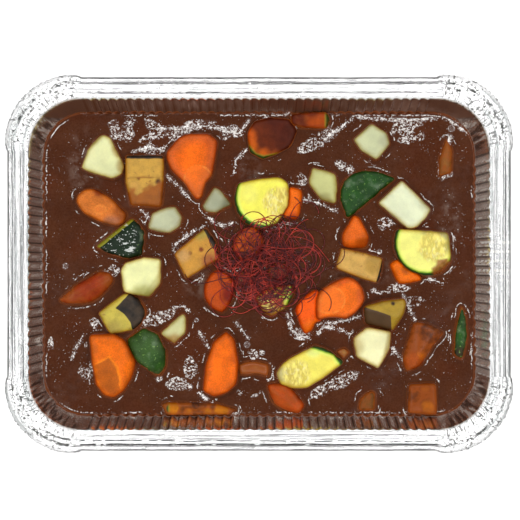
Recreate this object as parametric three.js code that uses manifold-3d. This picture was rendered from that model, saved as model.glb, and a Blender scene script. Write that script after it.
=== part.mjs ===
// Vegetable curry in an oblong foil tray: tray, sauce, cut vegetables and a nest of chili threads.
// Units are millimetres, +Z is up, +X runs along the tray. The origin is the centre of the tray's base.
import * as THREE from 'three';
import { mergeVertices } from 'three/addons/utils/BufferGeometryUtils.js';
import Module from 'manifold-3d';

const wasm = await Module();
wasm.setup();

// ---------- driving dimensions ----------

// the tray's inner wall at its top edge, from which every other outline is stepped in or out
const WALL_TOP = { halfLength: 145.3, halfWidth: 104.3, cornerRadius: 33, z: 49.2 };
const TRAY_HEIGHT = 50;
const BASE_INSET = 20.5; // how far the inner wall has come in when it reaches the base
const CORNER_SHRINK = 0.7; // corner radius lost for each millimetre stepped in
const FOIL = 0.8; // wall of the solid, stiffer than real foil
const RIM_WIDTH = 14; // wall to outer edge of the rolled rim
const CORNER_BULGE = 3.2; // the gathered rim stands out at the corners
const FLUTE = 1.1; // height of a wall flute, crest to trough
const FLUTES = { longSide: 24, shortSide: 16, corner: 3 };

const SAUCE_LEVEL = 31.5;
const GAP = 0.35; // clearance between neighbouring solids
const SAUCE_STEPS = { longSide: 8, shortSide: 6, corner: 5 };

const KNIFE = 160; // edge of the block that stands for a knife's waste side

// ---------- materials ----------

function finish(color, roughness, metalness = 0) {
  return () => new THREE.MeshStandardMaterial({ color, roughness, metalness });
}

const foil = finish(0xdfe1e2, 0.3, 1);
const sauceBrown = finish(0x52311f, 0.2);
const potatoFlesh = finish(0xe8edc0, 0.5);
const carrotFlesh = finish(0xf2722a, 0.45);
const courgetteFlesh = finish(0xf2ee80, 0.4);
const courgetteSkin = finish(0x37552a, 0.35);
const aubergineFlesh = finish(0xc8a050, 0.5);
const pumpkinFlesh = finish(0xc86a1c, 0.4);
const sunkFlesh = finish(0x9a5a2a, 0.4);
const chiliRed = finish(0x7d2420, 0.6);

// ---------- solids and meshes ----------

const curry = new THREE.Group();

function solidOf(geometry) {
  const bare = geometry.clone();
  bare.deleteAttribute('normal');
  bare.deleteAttribute('uv');
  const merged = mergeVertices(bare, 1e-4);
  const vertProperties = new Float32Array(merged.attributes.position.array);
  const triVerts = new Uint32Array(merged.index.array);
  return new wasm.Manifold(new wasm.Mesh({ numProp: 3, vertProperties, triVerts }));
}

function geometryOf(solid) {
  const mesh = solid.getMesh();
  const geometry = new THREE.BufferGeometry();
  geometry.setAttribute('position', new THREE.BufferAttribute(mesh.vertProperties, 3));
  geometry.setIndex(new THREE.BufferAttribute(mesh.triVerts, 1));
  const faceted = geometry.toNonIndexed();
  faceted.computeVertexNormals();
  return faceted;
}

function place(name, geometry, material) {
  const mesh = new THREE.Mesh(geometry, material());
  mesh.name = name;
  curry.add(mesh);
}

// ---------- the dish outline ----------

// Points round the tray's rounded rectangle, anticlockwise from the lower end of the right side,
// each with its outward direction. steps says how many fall on a side and on a corner.
function dishOutline(inset, steps) {
  const radius = WALL_TOP.cornerRadius - (inset > 0 ? CORNER_SHRINK : 1) * inset;
  const straightX = WALL_TOP.halfLength - inset - radius;
  const straightY = WALL_TOP.halfWidth - inset - radius;
  const places = [];
  const sides = [
    { centre: [straightX, straightY], length: 2 * straightY, count: steps.shortSide },
    { centre: [-straightX, straightY], length: 2 * straightX, count: steps.longSide },
    { centre: [-straightX, -straightY], length: 2 * straightY, count: steps.shortSide },
    { centre: [straightX, -straightY], length: 2 * straightX, count: steps.longSide },
  ];
  sides.forEach(({ centre, length, count }, quarter) => {
    const turn = (quarter * Math.PI) / 2;
    const out = [Math.cos(turn), Math.sin(turn)];
    const along = [-out[1], out[0]];
    for (let i = 0; i < count; i += 1) {
      const back = length * (1 - i / count);
      places.push({
        x: centre[0] + radius * out[0] - back * along[0],
        y: centre[1] + radius * out[1] - back * along[1],
        out,
        corner: 0,
      });
    }
    for (let i = 0; i < steps.corner; i += 1) {
      const angle = turn + ((i / steps.corner) * Math.PI) / 2;
      const ray = [Math.cos(angle), Math.sin(angle)];
      places.push({
        x: centre[0] + radius * ray[0],
        y: centre[1] + radius * ray[1],
        out: ray,
        corner: Math.sqrt(Math.sin(((i + 0.5) / steps.corner) * Math.PI)),
      });
    }
  });
  return places;
}

// A turned body bent from a circle into the dish outline. Each profile point gives its inset from
// the wall's top edge and its height; scale draws a ring in towards the middle, 0 being the axis.
function dishBody(profile, steps, move) {
  const count = 2 * (steps.longSide + steps.shortSide) + 4 * steps.corner;
  const flat = profile.map(({ z, scale = 1 }) => new THREE.Vector2(scale, z));
  const body = new THREE.LatheGeometry(flat, count);
  const position = body.attributes.position;
  profile.forEach((point, row) => {
    const ring = dishOutline(point.inset, steps);
    for (let i = 0; i <= count; i += 1) {
      const at = ring[i % count];
      const scale = point.scale ?? 1;
      const [x, y, z] = move(at, point, i % count);
      position.setXYZ(i * profile.length + row, x * scale, y * scale, z);
    }
  });
  return body;
}

// ---------- the foil tray ----------

// Flutes alternate in and out round the wall; the rim has none but bulges at its corners.
function trayPoint(at, point, index) {
  const calm = at.corner > 0 ? 0.6 : 1;
  const flute = (index % 2 === 0 ? 0.5 : -0.5) * FLUTE * calm * (point.flute ?? 0);
  const push = flute + CORNER_BULGE * at.corner * (point.bulge ?? 0);
  return [at.x + push * at.out[0], at.y + push * at.out[1], point.z];
}

const rim = -RIM_WIDTH;
const traySection = [
  { inset: BASE_INSET, z: 0, scale: 0 },
  { inset: BASE_INSET + 2.5, z: 0, flute: 0.6 },
  { inset: BASE_INSET - 2, z: 2.6, flute: 1 },
  { inset: -1, z: 48.2, flute: 1 },
  { inset: rim + 3, z: 48.4, bulge: 0.6 },
  { inset: rim + 2.2, z: 46.7, bulge: 0.8 },
  { inset: rim, z: 47.8, bulge: 1 },
  { inset: rim + 0.9, z: TRAY_HEIGHT, bulge: 0.9 },
  { inset: 0, z: WALL_TOP.z, flute: 1 },
  { inset: BASE_INSET, z: FOIL, flute: 1 },
  { inset: BASE_INSET, z: FOIL, scale: 0 },
];
const traySteps = {
  longSide: 2 * FLUTES.longSide,
  shortSide: 2 * FLUTES.shortSide,
  corner: 2 * FLUTES.corner,
};
place('foil_tray', dishBody(traySection, traySteps, trayPoint), foil);

// ---------- the room inside the tray ----------

// The contents stay clear of the innermost crests of the flutes and of the floor.
const sideClearance = FLUTE / 2 + GAP + 0.3;
const wallRun = BASE_INSET / (WALL_TOP.z - FOIL);
const levelInset = wallRun * (WALL_TOP.z - SAUCE_LEVEL) + sideClearance;
const baseInset = BASE_INSET + sideClearance;
const floor = FOIL + GAP;
const roomSection = [
  { inset: baseInset, z: floor, scale: 0 },
  { inset: baseInset, z: floor },
  { inset: sideClearance, z: WALL_TOP.z },
  { inset: sideClearance, z: WALL_TOP.z, scale: 0 },
];
const trayRoom = solidOf(dishBody(roomSection, SAUCE_STEPS, (at, point) => [at.x, at.y, point.z]));

// ---------- pieces in the sauce ----------

const pieces = [];

function arc(radius, fromDegrees, toDegrees, count, squash = 1) {
  return Array.from({ length: count }, (_, i) => {
    const angle = THREE.MathUtils.degToRad(fromDegrees + ((toDegrees - fromDegrees) * i) / (count - 1));
    return [radius * Math.cos(angle), squash * radius * Math.sin(angle)];
  });
}

// An oval of half-lengths long and wide, its long axis turned by the given degrees.
function oval(long, wide, degrees, count) {
  const turn = THREE.MathUtils.degToRad(degrees);
  return Array.from({ length: count }, (_, i) => {
    const angle = (2 * Math.PI * (i + 0.5)) / count;
    const x = long * Math.cos(angle);
    const y = wide * Math.sin(angle);
    return [x * Math.cos(turn) - y * Math.sin(turn), x * Math.sin(turn) + y * Math.cos(turn)];
  });
}

// A prism under the outline, its top face at z = 0 and leaning by the given slopes.
function chunk({ corners, deep, lean = [0, 0] }, bevel) {
  const outline = new THREE.Shape(corners.map(([x, y]) => new THREE.Vector2(x, y)));
  const body = new THREE.ExtrudeGeometry(outline, {
    depth: deep - 2 * bevel,
    bevelEnabled: bevel > 0,
    bevelSize: bevel,
    bevelThickness: bevel,
    bevelOffset: -bevel,
    bevelSegments: 1,
  });
  body.translate(0, 0, bevel - deep);
  const slope = new THREE.Matrix4().set(1, 0, 0, 0, 0, 1, 0, 0, lean[0], lean[1], 1, 0, 0, 0, 0, 1);
  body.applyMatrix4(slope);
  return solidOf(body);
}

// What a knife takes off: all that lies beyond the plane through a point, on the side it faces.
function waste({ through, facing }) {
  const block = new THREE.BoxGeometry(KNIFE, KNIFE, KNIFE);
  block.translate(0, 0, KNIFE / 2);
  const out = new THREE.Vector3(...facing).normalize();
  const turn = new THREE.Quaternion().setFromUnitVectors(new THREE.Vector3(0, 0, 1), out);
  block.applyQuaternion(turn);
  block.translate(...through);
  return solidOf(block);
}

// The round of a whole vegetable lying on its side, which leaves its curved skin on a piece.
function round({ radius, degrees }) {
  const log = new THREE.CylinderGeometry(radius, radius, KNIFE, 26);
  log.rotateZ(THREE.MathUtils.degToRad(degrees - 90));
  log.translate(0, 0, -radius);
  return solidOf(log);
}

function shapePiece(spec, bevel) {
  let solid = chunk(spec, bevel);
  for (const cut of spec.cuts ?? []) solid = solid.subtract(waste(cut));
  if (spec.skinRound) solid = solid.intersect(round(spec.skinRound));
  return solid;
}

// The room a piece needs: the same shape, larger all round by the clearance.
function room(spec) {
  const tight = shapePiece(spec, 0);
  const { min, max } = tight.boundingBox();
  const middle = [0, 0, (min[2] + max[2]) / 2];
  const grow = [0, 1, 2].map((i) => 1 + (2.6 * GAP) / (max[i] - min[i]));
  return tight
    .translate(middle.map((m) => -m))
    .scale(grow)
    .translate(middle)
    .translate(standing(spec));
}

function standing({ at, top }) {
  return [at[0], at[1], SAUCE_LEVEL + top];
}

// Lays a piece among those laid before it, which keep their room.
function lay(name, material, spec) {
  let solid = shapePiece(spec, spec.bevel ?? 1).translate(standing(spec));
  solid = solid.intersect(trayRoom);
  for (const earlier of pieces) {
    if (touching(solid, earlier.room)) solid = solid.subtract(earlier.room);
  }
  pieces.push({ name, room: room(spec) });
  place(name, geometryOf(solid), material);
}

function touching(one, other) {
  const a = one.boundingBox();
  const b = other.boundingBox();
  return [0, 1, 2].every((i) => a.min[i] < b.max[i] && b.min[i] < a.max[i]);
}

// Every piece is given by the middle of its outline, the corners about that middle, how far its
// top stands above the sauce, how deep it goes, and the slope of its cut face along X and Y.

// Potato, in rough dice.
lay('potato_1', potatoFlesh, {
  at: [-98, 65.5],
  corners: [
    [-2, 17], [-6.8, 13], [-11.3, 7.5], [-12, 3.5], [-15.5, -4], [-11, -6.5],
    [4, -11], [10, -8.5], [12, -3.5], [3, 15],
  ],
  top: 5.5,
  deep: 20,
  lean: [0.04, -0.06],
  cuts: [{ through: [-5, 10.5, 0], facing: [-0.72, 0.7, 0.8] }],
});
lay('potato_2', potatoFlesh, {
  at: [42, 50],
  corners: [[-10.5, 2], [-8, 11.5], [7, 7.5], [8, -0.5], [7, -11.5], [-2.5, -9]],
  top: 5,
  deep: 19,
  lean: [-0.05, 0.04],
  cuts: [{ through: [3, 0, 0.2], facing: [1, 0.1, 1.9] }],
});
lay('potato_3', potatoFlesh, {
  at: [73, 78],
  corners: [[-12.5, 1.5], [-1, 11.5], [8.5, 5.5], [10.5, -1.5], [2, -11.5], [-8, -5.5]],
  top: 5,
  deep: 20,
  lean: [0.03, -0.05],
});
lay('potato_4', potatoFlesh, {
  at: [94, 34.5],
  corners: [[-3, 18.5], [15.5, 0.5], [12.5, -5], [5.5, -11.5], [0.5, -11.5], [-18, 4.5]],
  top: 7,
  deep: 22,
  lean: [-0.06, -0.03],
});
lay('aubergine_3', aubergineFlesh, {
  at: [79, -31],
  corners: [[-12.5, 3.5], [1, 7.5], [13.5, 8.7], [14.7, 6], [13.2, -0.5], [6.3, -11.7], [-11, -7]],
  top: 8,
  deep: 18,
  lean: [0.02, 0.03],
  cuts: [{ through: [0, -0.1, 0], facing: [-0.14, -0.58, 1] }],
});
lay('potato_5', potatoFlesh, {
  at: [71.5, -53],
  corners: [[-11.5, 5.5], [-3, 12.5], [12.8, 9.5], [11.3, -1.8], [4.5, -13.3], [-9.5, -6]],
  top: 7.5,
  deep: 21,
  lean: [0.06, 0.02],
  cuts: [
    { through: [8.5, 2, 0], facing: [1, -0.2, 0.9] },
    { through: [-5, -6, 0], facing: [-0.6, -1, 1.4] },
  ],
});
lay('potato_6', potatoFlesh, {
  at: [-53, -41.5],
  corners: [[4.5, 10], [-10.5, -3], [-1, -9.5], [6, -2], [6.5, 7]],
  top: 3.5,
  deep: 16,
  lean: [0.1, 0.06],
});
lay('aubergine_5', aubergineFlesh, {
  at: [-86, -31.5],
  corners: [
    [4.4, 12.7], [10.2, 7.9], [14, 1.5], [11.4, -5.5], [5.7, -10.6],
    [-9, -13.2], [-16.2, 0.2], [0, 12.4],
  ],
  top: 7,
  deep: 18,
  cuts: [
    { through: [-5.8, 3.2, 0], facing: [0.32, 0, 1] },
    { through: [-5.8, 3.2, 0], facing: [-0.03, 0.3, 1] },
    { through: [-5.8, 3.2, 0], facing: [0.11, -0.17, 1] },
  ],
});
lay('potato_7', potatoFlesh, {
  at: [-75.5, -7],
  corners: [[-10, 7.5], [2, 11], [13, 10], [12.5, -5.5], [5.5, -14], [-10.5, -11], [-12.5, 2.5]],
  top: 7.5,
  deep: 21,
  lean: [0.05, 0.02],
  cuts: [{ through: [7, -4, 0], facing: [1, -0.7, 1.3] }],
});
lay('potato_8', potatoFlesh, {
  at: [-58.5, 28.5],
  corners: [[-12.5, -6], [-9.5, 4], [-0.5, 7.5], [5, 8], [9.5, 1], [7.5, -5], [1, -9]],
  top: 4,
  deep: 17,
  lean: [-0.05, 0.03],
});
lay('potato_9', potatoFlesh, {
  at: [-27.5, 39],
  corners: [[-9, -2], [-1, 10], [2.5, 8.5], [10, -1], [-1, -6.5], [-6.5, -5.5]],
  top: 3,
  deep: 15,
  lean: [0.02, 0.06],
});
lay('potato_10', potatoFlesh, {
  at: [12, -5],
  corners: [[-6, 2], [1, 6], [7, 0], [2, -5.5], [-5, -4]],
  top: 2.5,
  deep: 12,
  lean: [0.03, 0.05],
});
lay('potato_11', potatoFlesh, {
  at: [-9, -9.5],
  corners: [[-5, 3], [3, 4.5], [5.5, -2], [-1, -4.5], [-5.5, -2.5]],
  top: 2,
  deep: 11,
  lean: [-0.04, 0.04],
});
lay('potato_12', potatoFlesh, {
  at: [54, -57],
  corners: [[-4, 1], [0.5, 3], [3.5, 0.5], [0, -3.5]],
  top: 0.8,
  deep: 8,
  bevel: 0.6,
});

// Courgette, in thick half slices with the skin along the round side.
lay('courgette_1', courgetteFlesh, {
  at: [4, 41.5],
  corners: [
    [-17.5, 9.5], ...arc(19.5, 165, 266, 6), [7.5, -15], [14.5, -4],
    [14.5, 9.5], [9, 13.5], [-4, 12.5],
  ],
  top: 7.5,
  deep: 17,
  lean: [0.06, 0.03],
});
lay('courgette_2', courgetteFlesh, {
  at: [106.7, 13.5],
  corners: [[14, 6.3], [-18.6, 8.7], ...arc(20.4, 172, 262, 6), [3.5, -21.2], [11.2, -18], [15.7, -12.2]],
  top: 6,
  deep: 16,
  lean: [-0.03, 0.02],
  cuts: [{ through: [14.3, -7.9, 0], facing: [0.63, -0.78, 1.2] }],
});
lay('courgette_3', courgetteFlesh, {
  at: [31, -66],
  corners: [
    [-20, -4], [-16.5, 1.5], [-11.5, 5.5], [5, 14], [13, 11], [20, 5.5], [23, 3.5], [9, -7],
    [0, -12.5], [-9, -13.5], [-17, -10.5],
  ],
  top: 6.5,
  deep: 15,
  lean: [0.05, 0.1],
});
lay('courgette_4', courgetteFlesh, {
  at: [12, -22],
  corners: [[9.5, 8.5], [10.5, 2.5], [5, -5], [-3.5, -11.5], [-7.5, -10], [-14.5, 0.5], [-3, 7]],
  top: 4.5,
  deep: 14,
  lean: [0.05, -0.03],
});

// Carrot, roll-cut into wedges, slanted slices and thick rounds.
lay('carrot_1', carrotFlesh, {
  at: [-38.5, 64.5],
  corners: [
    [-20, 2], [-20, 7], [-12, 16], [-7.5, 17.8], [6, 18.3], [11.7, 14], [9.8, 0.5], [7.9, -8.5],
    [4, -11.8], [1.5, -22.5], [-1.5, -23.5], [-9.5, -11.8], [-17, -4.8],
  ],
  top: 6,
  deep: 15,
  lean: [-0.02, 0.06],
  bevel: 0.8,
});
lay('carrot_2', carrotFlesh, {
  at: [21.5, 39],
  corners: [[-6, 11.5], [6, 8], [5, -2], [3.5, -10.5], [-6, -9]],
  top: 4.5,
  deep: 13,
  lean: [-0.08, 0.02],
});
lay('carrot_3', carrotFlesh, {
  at: [61.5, 17.5],
  corners: [[-1, 13.5], [2.5, 12], [8.5, -0.5], [7.5, -8], [-8, -6.5], [-8, 1.5]],
  top: 5.5,
  deep: 14,
  lean: [0, 0.05],
  cuts: [{ through: [0, -1, 0.2], facing: [0.15, -1, 1.1] }],
});
lay('carrot_4', carrotFlesh, {
  at: [93, -6],
  corners: [[-9.4, 5.7], [-5, 8.5], [4, 4], [11.5, -4.2], [7, -5], [-0.6, -6.5], [-3.8, -6.5]],
  top: 3.8,
  deep: 12,
  cuts: [{ through: [-4.8, 0, 0], facing: [-0.93, -0.37, 1.3] }],
});
lay('carrot_6', carrotFlesh, {
  at: [52.5, -20.5],
  corners: [
    [-5, 8.5], [0, 11], [5, 11.7], [9, 9.5], [13, 5], [14.7, -1], [12.8, -5.7], [8, -11],
    [3, -14], [-3.5, -12.7], [-8, -12.7], [-15.3, -15], [-15.5, -2], [-13.5, 3],
  ],
  top: 8,
  deep: 12,
  lean: [0.02, -0.02],
});
lay('carrot_5', carrotFlesh, {
  at: [31, -31],
  corners: [
    [-7.8, 1.5], [-4.5, 7.8], [5, 14.2], [9, 13],
    [9, -5], [4.5, -5.6], [2.8, -11.2], [-1.8, -13.8],
  ],
  top: 5,
  deep: 13,
  lean: [-0.04, 0.03],
  cuts: [{ through: [0, -7.3, 0], facing: [0.1, -1, 2.4] }],
});
lay('carrot_7', carrotFlesh, {
  at: [103, -54.5],
  corners: [[-4, 17.5], [6, 15.5], [15, 10.5], [8.5, 3], [0, -10.5], [-8.5, -14], [-11, -6.5]],
  top: 5.5,
  deep: 14,
  cuts: [
    { through: [-1, -1, 0], facing: [0.5, -0.35, 1.3] },
    { through: [-1, -1, 0], facing: [-0.6, -0.05, 1.6] },
  ],
});
lay('carrot_9', carrotFlesh, {
  at: [17, -86],
  corners: [[-11.5, 9], [-1, 9.5], [6, 3.5], [12, -4], [8.5, -9.5], [-1, -8], [-8.5, -3]],
  top: 3.5,
  deep: 13,
  cuts: [{ through: [0, 0, 0], facing: [-0.7, -1, 2.4] }],
});
lay('carrot_10', carrotFlesh, {
  at: [-24, -64],
  corners: [
    [3, 20.5], [8, 16], [10.5, 1], [9.5, -12.5], [3, -18],
    [-5, -20.5], [-11.5, -17], [-10, -1], [-5, 14],
  ],
  top: 6.5,
  deep: 14,
  lean: [0.04, 0.02],
});
lay('carrot_11', carrotFlesh, {
  at: [-95, -65.5],
  corners: [
    [-13, 20.2], [2, 20.5], [9, 16.5], [16.2, 2.5], [13.5, -7],
    [8.3, -15.5], [2, -19.8], [-4, -18.5], [-9, -11], [-10.5, -2],
  ],
  top: 8,
  deep: 18,
  lean: [-0.02, 0.03],
  cuts: [
    { through: [-1.5, 3.5, 0], facing: [-0.25, -1, 3.6] },
    { through: [8, 2, 0], facing: [1, -0.4, 1.9] },
  ],
});
lay('carrot_12', carrotFlesh, {
  at: [-108, -16],
  corners: [[-20, -7.5], [-9, 2], [6, 11], [13, 10], [15, 5], [6.5, -4.5], [0, -8.5], [-13, -9.5]],
  top: 4.6,
  deep: 13,
  cuts: [
    { through: [0, 0.5, 0], facing: [0.3, -0.6, 1.5] },
    { through: [0, 0.5, 0], facing: [-0.3, 0.55, 2] },
    { through: [-8, -4, -0.3], facing: [-0.6, -0.3, 3] },
  ],
});

// Courgette ends and shavings lying skin up.
lay('courgette_skin_1', courgetteSkin, {
  at: [64, 48],
  corners: [[-12, -7], [-11.5, 0.5], [-9, 5.5], [-4, 9.5], [4, 11.5], [12, 10.5], [23, 6.5], [-7.5, -19]],
  top: 5,
  deep: 14,
  lean: [0, 0.02],
  skinRound: { radius: 30, degrees: 40 },
});
lay('courgette_skin_2', courgetteSkin, {
  at: [129, -43.5],
  corners: [[-4.5, -14.5], [-3.5, 0], [0.5, 17], [3, 10], [4, -4], [1, -17.5]],
  top: 2.2,
  deep: 9,
  skinRound: { radius: 11, degrees: 84 },
});
lay('courgette_skin_3', courgetteSkin, {
  at: [-70.5, -54.5],
  corners: [[-3, 13.5], [6, 9.5], [11, -2], [11, -11], [8.5, -19], [-7, -8], [-13.5, 3], [-14.5, 6.5]],
  top: 6,
  deep: 14,
  skinRound: { radius: 22, degrees: 55 },
});
lay('courgette_skin_4', courgetteSkin, {
  at: [-83.5, 14],
  corners: [[2, 15], [5, 13.5], [10.5, 6], [9, -8], [-0.5, -10.5], [-10, -8], [-20.5, -3]],
  top: 6,
  deep: 14,
  skinRound: { radius: 20, degrees: 35 },
});
lay('carrot_13', carrotFlesh, {
  at: [-103.5, 36.5],
  corners: [
    [-13, 3], [-12, 7.5], [-7, 11], [-1, 11], [9, 5],
    [19, -5], [17, -10], [12, -12], [2, -9], [-8, -4],
  ],
  top: 4.5,
  deep: 13,
  lean: [-0.06, 0.04],
});

// Aubergine, in blocks that keep a strip of dark skin.
lay('aubergine_1', aubergineFlesh, {
  at: [-73, 53],
  corners: [[-12, 16], [12, 16], [12, -1], [10.5, -16.5], [-9, -15.5], [-12, -1]],
  top: 6,
  deep: 20,
  cuts: [
    { through: [0, 0.5, 0], facing: [0, -0.35, 1.3] },
    { through: [0, 0.5, 0], facing: [0, 0.1, 1.3] },
  ],
});
lay('aubergine_2', aubergineFlesh, {
  at: [64, -0.5],
  corners: [[-11.5, 10.5], [1, 8], [15, 4], [14, -5], [11.5, -11.5], [-3, -7], [-15, -2]],
  top: 5,
  deep: 17,
  lean: [-0.03, -0.03],
});
lay('carrot_14', carrotFlesh, {
  at: [-26.5, -16],
  corners: [
    [-8, 2.5], [-5, 8.5], [-1, 12], [5.5, 10], [10.5, 3.5],
    [9, -7], [3, -15], [-3.5, -12], [-8.5, -5],
  ],
  top: 5,
  deep: 13,
  lean: [0.05, 0.02],
});
lay('aubergine_6', aubergineFlesh, {
  at: [-37.5, 7],
  corners: [[3.5, 16], [-16.5, -0.5], [-9, -16.5], [8.5, -5.5], [12, -3.5], [10.5, 6]],
  top: 5.5,
  deep: 18,
  lean: [-0.04, 0.02],
});
lay('aubergine_4', aubergineFlesh, {
  at: [-3, -67],
  corners: [[-10.5, 2.5], [-2, 4.5], [9, 3], [9, -5], [2, -3], [-9, -3.5]],
  top: 1.6,
  deep: 12,
});

// Pumpkin, in thin slices on edge and one block.
lay('pumpkin_2', pumpkinFlesh, {
  at: [30, 92.5],
  corners: [[-9.5, 3], [-4, 5], [13.5, 5.5], [15, -1], [13, -6], [-4, -5], [-9.5, -3]],
  top: 3,
  deep: 20,
  lean: [0.05, -0.02],
});
lay('pumpkin_1', pumpkinFlesh, {
  at: [5.5, 80.5],
  corners: [
    [-13, 3], [-8.5, 10.5], [2, 13], [14, 12], [19, 5],
    [14.5, -5.5], [5, -10.5], [-3.5, -13.5], [-11.5, -9],
  ],
  top: 3.2,
  deep: 16,
  lean: [-0.03, -0.03],
});
lay('pumpkin_3', pumpkinFlesh, {
  at: [104.5, -86.5],
  corners: [[-8.5, 9.5], [8.5, 10], [9, -10], [-9.5, -8.5]],
  top: 4.5,
  deep: 19,
  lean: [0.03, 0.04],
});
lay('pumpkin_4', pumpkinFlesh, {
  at: [-40, -92.5],
  corners: [[-22, 3], [-19, 4], [-5, 3.5], [12, 3], [25, -0.5], [22, -4], [4, -4], [-19, -4.5]],
  top: 3,
  deep: 20,
  lean: [-0.02, -0.04],
});
lay('carrot_8', carrotFlesh, {
  at: [-7, 13],
  corners: oval(11, 8.5, 60, 9),
  top: 5,
  deep: 13,
  lean: [-0.02, 0.05],
});

// Pieces that lie almost under the sauce.
lay('sunk_piece_1', sunkFlesh, {
  at: [119.5, 67],
  corners: [[-4.5, -11], [-4, 0], [0.5, 13], [4, 6], [3.5, -9]],
  top: 1.4,
  deep: 9,
});
lay('sunk_piece_2', sunkFlesh, {
  at: [69.5, -87.5],
  corners: [[-6, -6], [-4.5, 1.5], [2, 6.5], [5, 5], [4, -6]],
  top: 1.2,
  deep: 9,
});

// ---------- the sauce ----------

// Long low swells, rising a little where the sauce climbs the wall.
function sauceHeight(x, y, climb) {
  const swell = 0.45 * Math.sin(x / 19 + 1) * Math.cos(y / 15) + 0.25 * Math.sin(x / 9 - y / 11);
  return SAUCE_LEVEL + swell + climb;
}

function saucePoint(at, point) {
  const scale = point.scale ?? 1;
  const z = point.free ? sauceHeight(at.x * scale, at.y * scale, point.climb ?? 0) : point.z;
  return [at.x, at.y, z];
}

const sauceSection = [
  { inset: baseInset, z: floor, scale: 0 },
  { inset: baseInset, z: floor },
  { inset: levelInset, free: true, climb: 0.8 },
  { inset: levelInset, free: true, scale: 0.97 },
  { inset: levelInset, free: true, scale: 0.82 },
  { inset: levelInset, free: true, scale: 0.62 },
  { inset: levelInset, free: true, scale: 0.38 },
  { inset: levelInset, free: true, scale: 0 },
];
let sauce = solidOf(dishBody(sauceSection, SAUCE_STEPS, saucePoint));
for (const piece of pieces) sauce = sauce.subtract(piece.room);
place('curry_sauce', geometryOf(sauce), sauceBrown);

// ---------- the nest of chili threads ----------

const NEST = { at: [4, -1.5], radius: [27, 22.5], foot: SAUCE_LEVEL + 1.3, top: SAUCE_LEVEL + 10.5 };
const nestSide = [[0, 0], [0.86, 0], [1, 0.18], [0.86, 0.5], [0.6, 0.82], [0.3, 1], [0, 0.96]];
const nestTurns = 22;
const heap = new THREE.LatheGeometry(
  nestSide.map(([across, up]) => new THREE.Vector2(across, up)),
  nestTurns,
);
const heapPosition = heap.attributes.position;
for (let i = 0; i < heapPosition.count; i += 1) {
  const across = Math.hypot(heapPosition.getX(i), heapPosition.getZ(i));
  const angle = Math.atan2(heapPosition.getZ(i), heapPosition.getX(i));
  const uneven = 1 + 0.09 * Math.sin(3 * angle + 0.6) + 0.05 * Math.sin(7 * angle);
  const up = heapPosition.getY(i) * (1 + 0.12 * across * Math.sin(4 * angle + 1));
  heapPosition.setXYZ(
    i,
    NEST.at[0] + NEST.radius[0] * across * uneven * Math.cos(angle),
    NEST.at[1] - NEST.radius[1] * across * uneven * Math.sin(angle),
    NEST.foot + (NEST.top - NEST.foot) * up,
  );
}
let nest = solidOf(heap);
for (const piece of pieces) {
  if (touching(nest, piece.room)) nest = nest.subtract(piece.room);
}
place('chili_threads', geometryOf(nest), chiliRed);

export default curry;
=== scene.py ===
# %% [markdown]
# # A vegetable curry in a foil tray
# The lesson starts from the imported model, which fixes where every piece is and how big it is.
# Each piece of food is then given its cooked look, the sauce its skin and menisci, and the tray
# its pressed flutes. Nothing is moved: a new piece always lies where the plain solid lay.

# %% Load the frame
import math
import random

import bmesh
import bpy
import numpy as np
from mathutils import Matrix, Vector, geometry, noise
from mathutils.bvhtree import BVHTree


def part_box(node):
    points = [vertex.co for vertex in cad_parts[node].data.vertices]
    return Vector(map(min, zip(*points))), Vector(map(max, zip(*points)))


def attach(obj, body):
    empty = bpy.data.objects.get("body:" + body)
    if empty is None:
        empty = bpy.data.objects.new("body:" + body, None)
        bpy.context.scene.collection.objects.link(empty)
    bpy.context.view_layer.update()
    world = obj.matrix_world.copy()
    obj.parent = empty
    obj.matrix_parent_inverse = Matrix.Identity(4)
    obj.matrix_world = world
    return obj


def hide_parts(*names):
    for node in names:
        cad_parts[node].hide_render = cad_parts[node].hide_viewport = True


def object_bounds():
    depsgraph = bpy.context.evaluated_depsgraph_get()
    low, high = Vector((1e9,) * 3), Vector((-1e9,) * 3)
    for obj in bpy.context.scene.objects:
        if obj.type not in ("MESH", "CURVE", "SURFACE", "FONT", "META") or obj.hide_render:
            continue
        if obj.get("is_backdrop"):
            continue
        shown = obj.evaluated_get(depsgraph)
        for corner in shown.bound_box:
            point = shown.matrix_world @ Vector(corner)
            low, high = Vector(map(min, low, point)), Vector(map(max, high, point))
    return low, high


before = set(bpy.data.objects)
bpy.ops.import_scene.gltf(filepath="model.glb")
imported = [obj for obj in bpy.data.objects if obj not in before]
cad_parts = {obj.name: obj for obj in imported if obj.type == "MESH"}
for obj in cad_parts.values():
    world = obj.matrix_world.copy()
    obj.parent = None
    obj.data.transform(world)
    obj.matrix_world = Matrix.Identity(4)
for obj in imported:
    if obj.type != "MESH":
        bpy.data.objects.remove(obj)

MM = 0.001
cad_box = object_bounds()
print("solids in the frame:", len(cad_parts))

# %% [markdown]
# ## Camera, floor and light
# The tray is looked at from straight above and far away, so its walls hardly widen. A long lens
# does that. The wet sauce stays dark because the sky right above is dim, and it sparkles where
# a ripple tips towards one of eight small soft boxes, and where its material paints glints near
# white. The foil is lit by the bright ring of sky round the zenith.

# %% Camera
scene = bpy.context.scene
scene.view_settings.view_transform = "Standard"

CAMERA_AT = Vector((0.63, 2.52, 1350)) * MM
VIEW_WIDTH = 0.3281 / 1.3  # width seen at one metre from the lens, in metres

camera = bpy.data.objects.new("camera", bpy.data.cameras.new("camera"))
camera.location = CAMERA_AT
camera.data.lens = camera.data.sensor_width / VIEW_WIDTH
scene.collection.objects.link(camera)
scene.camera = camera
print("lens:", round(camera.data.lens, 1), "mm")


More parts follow.
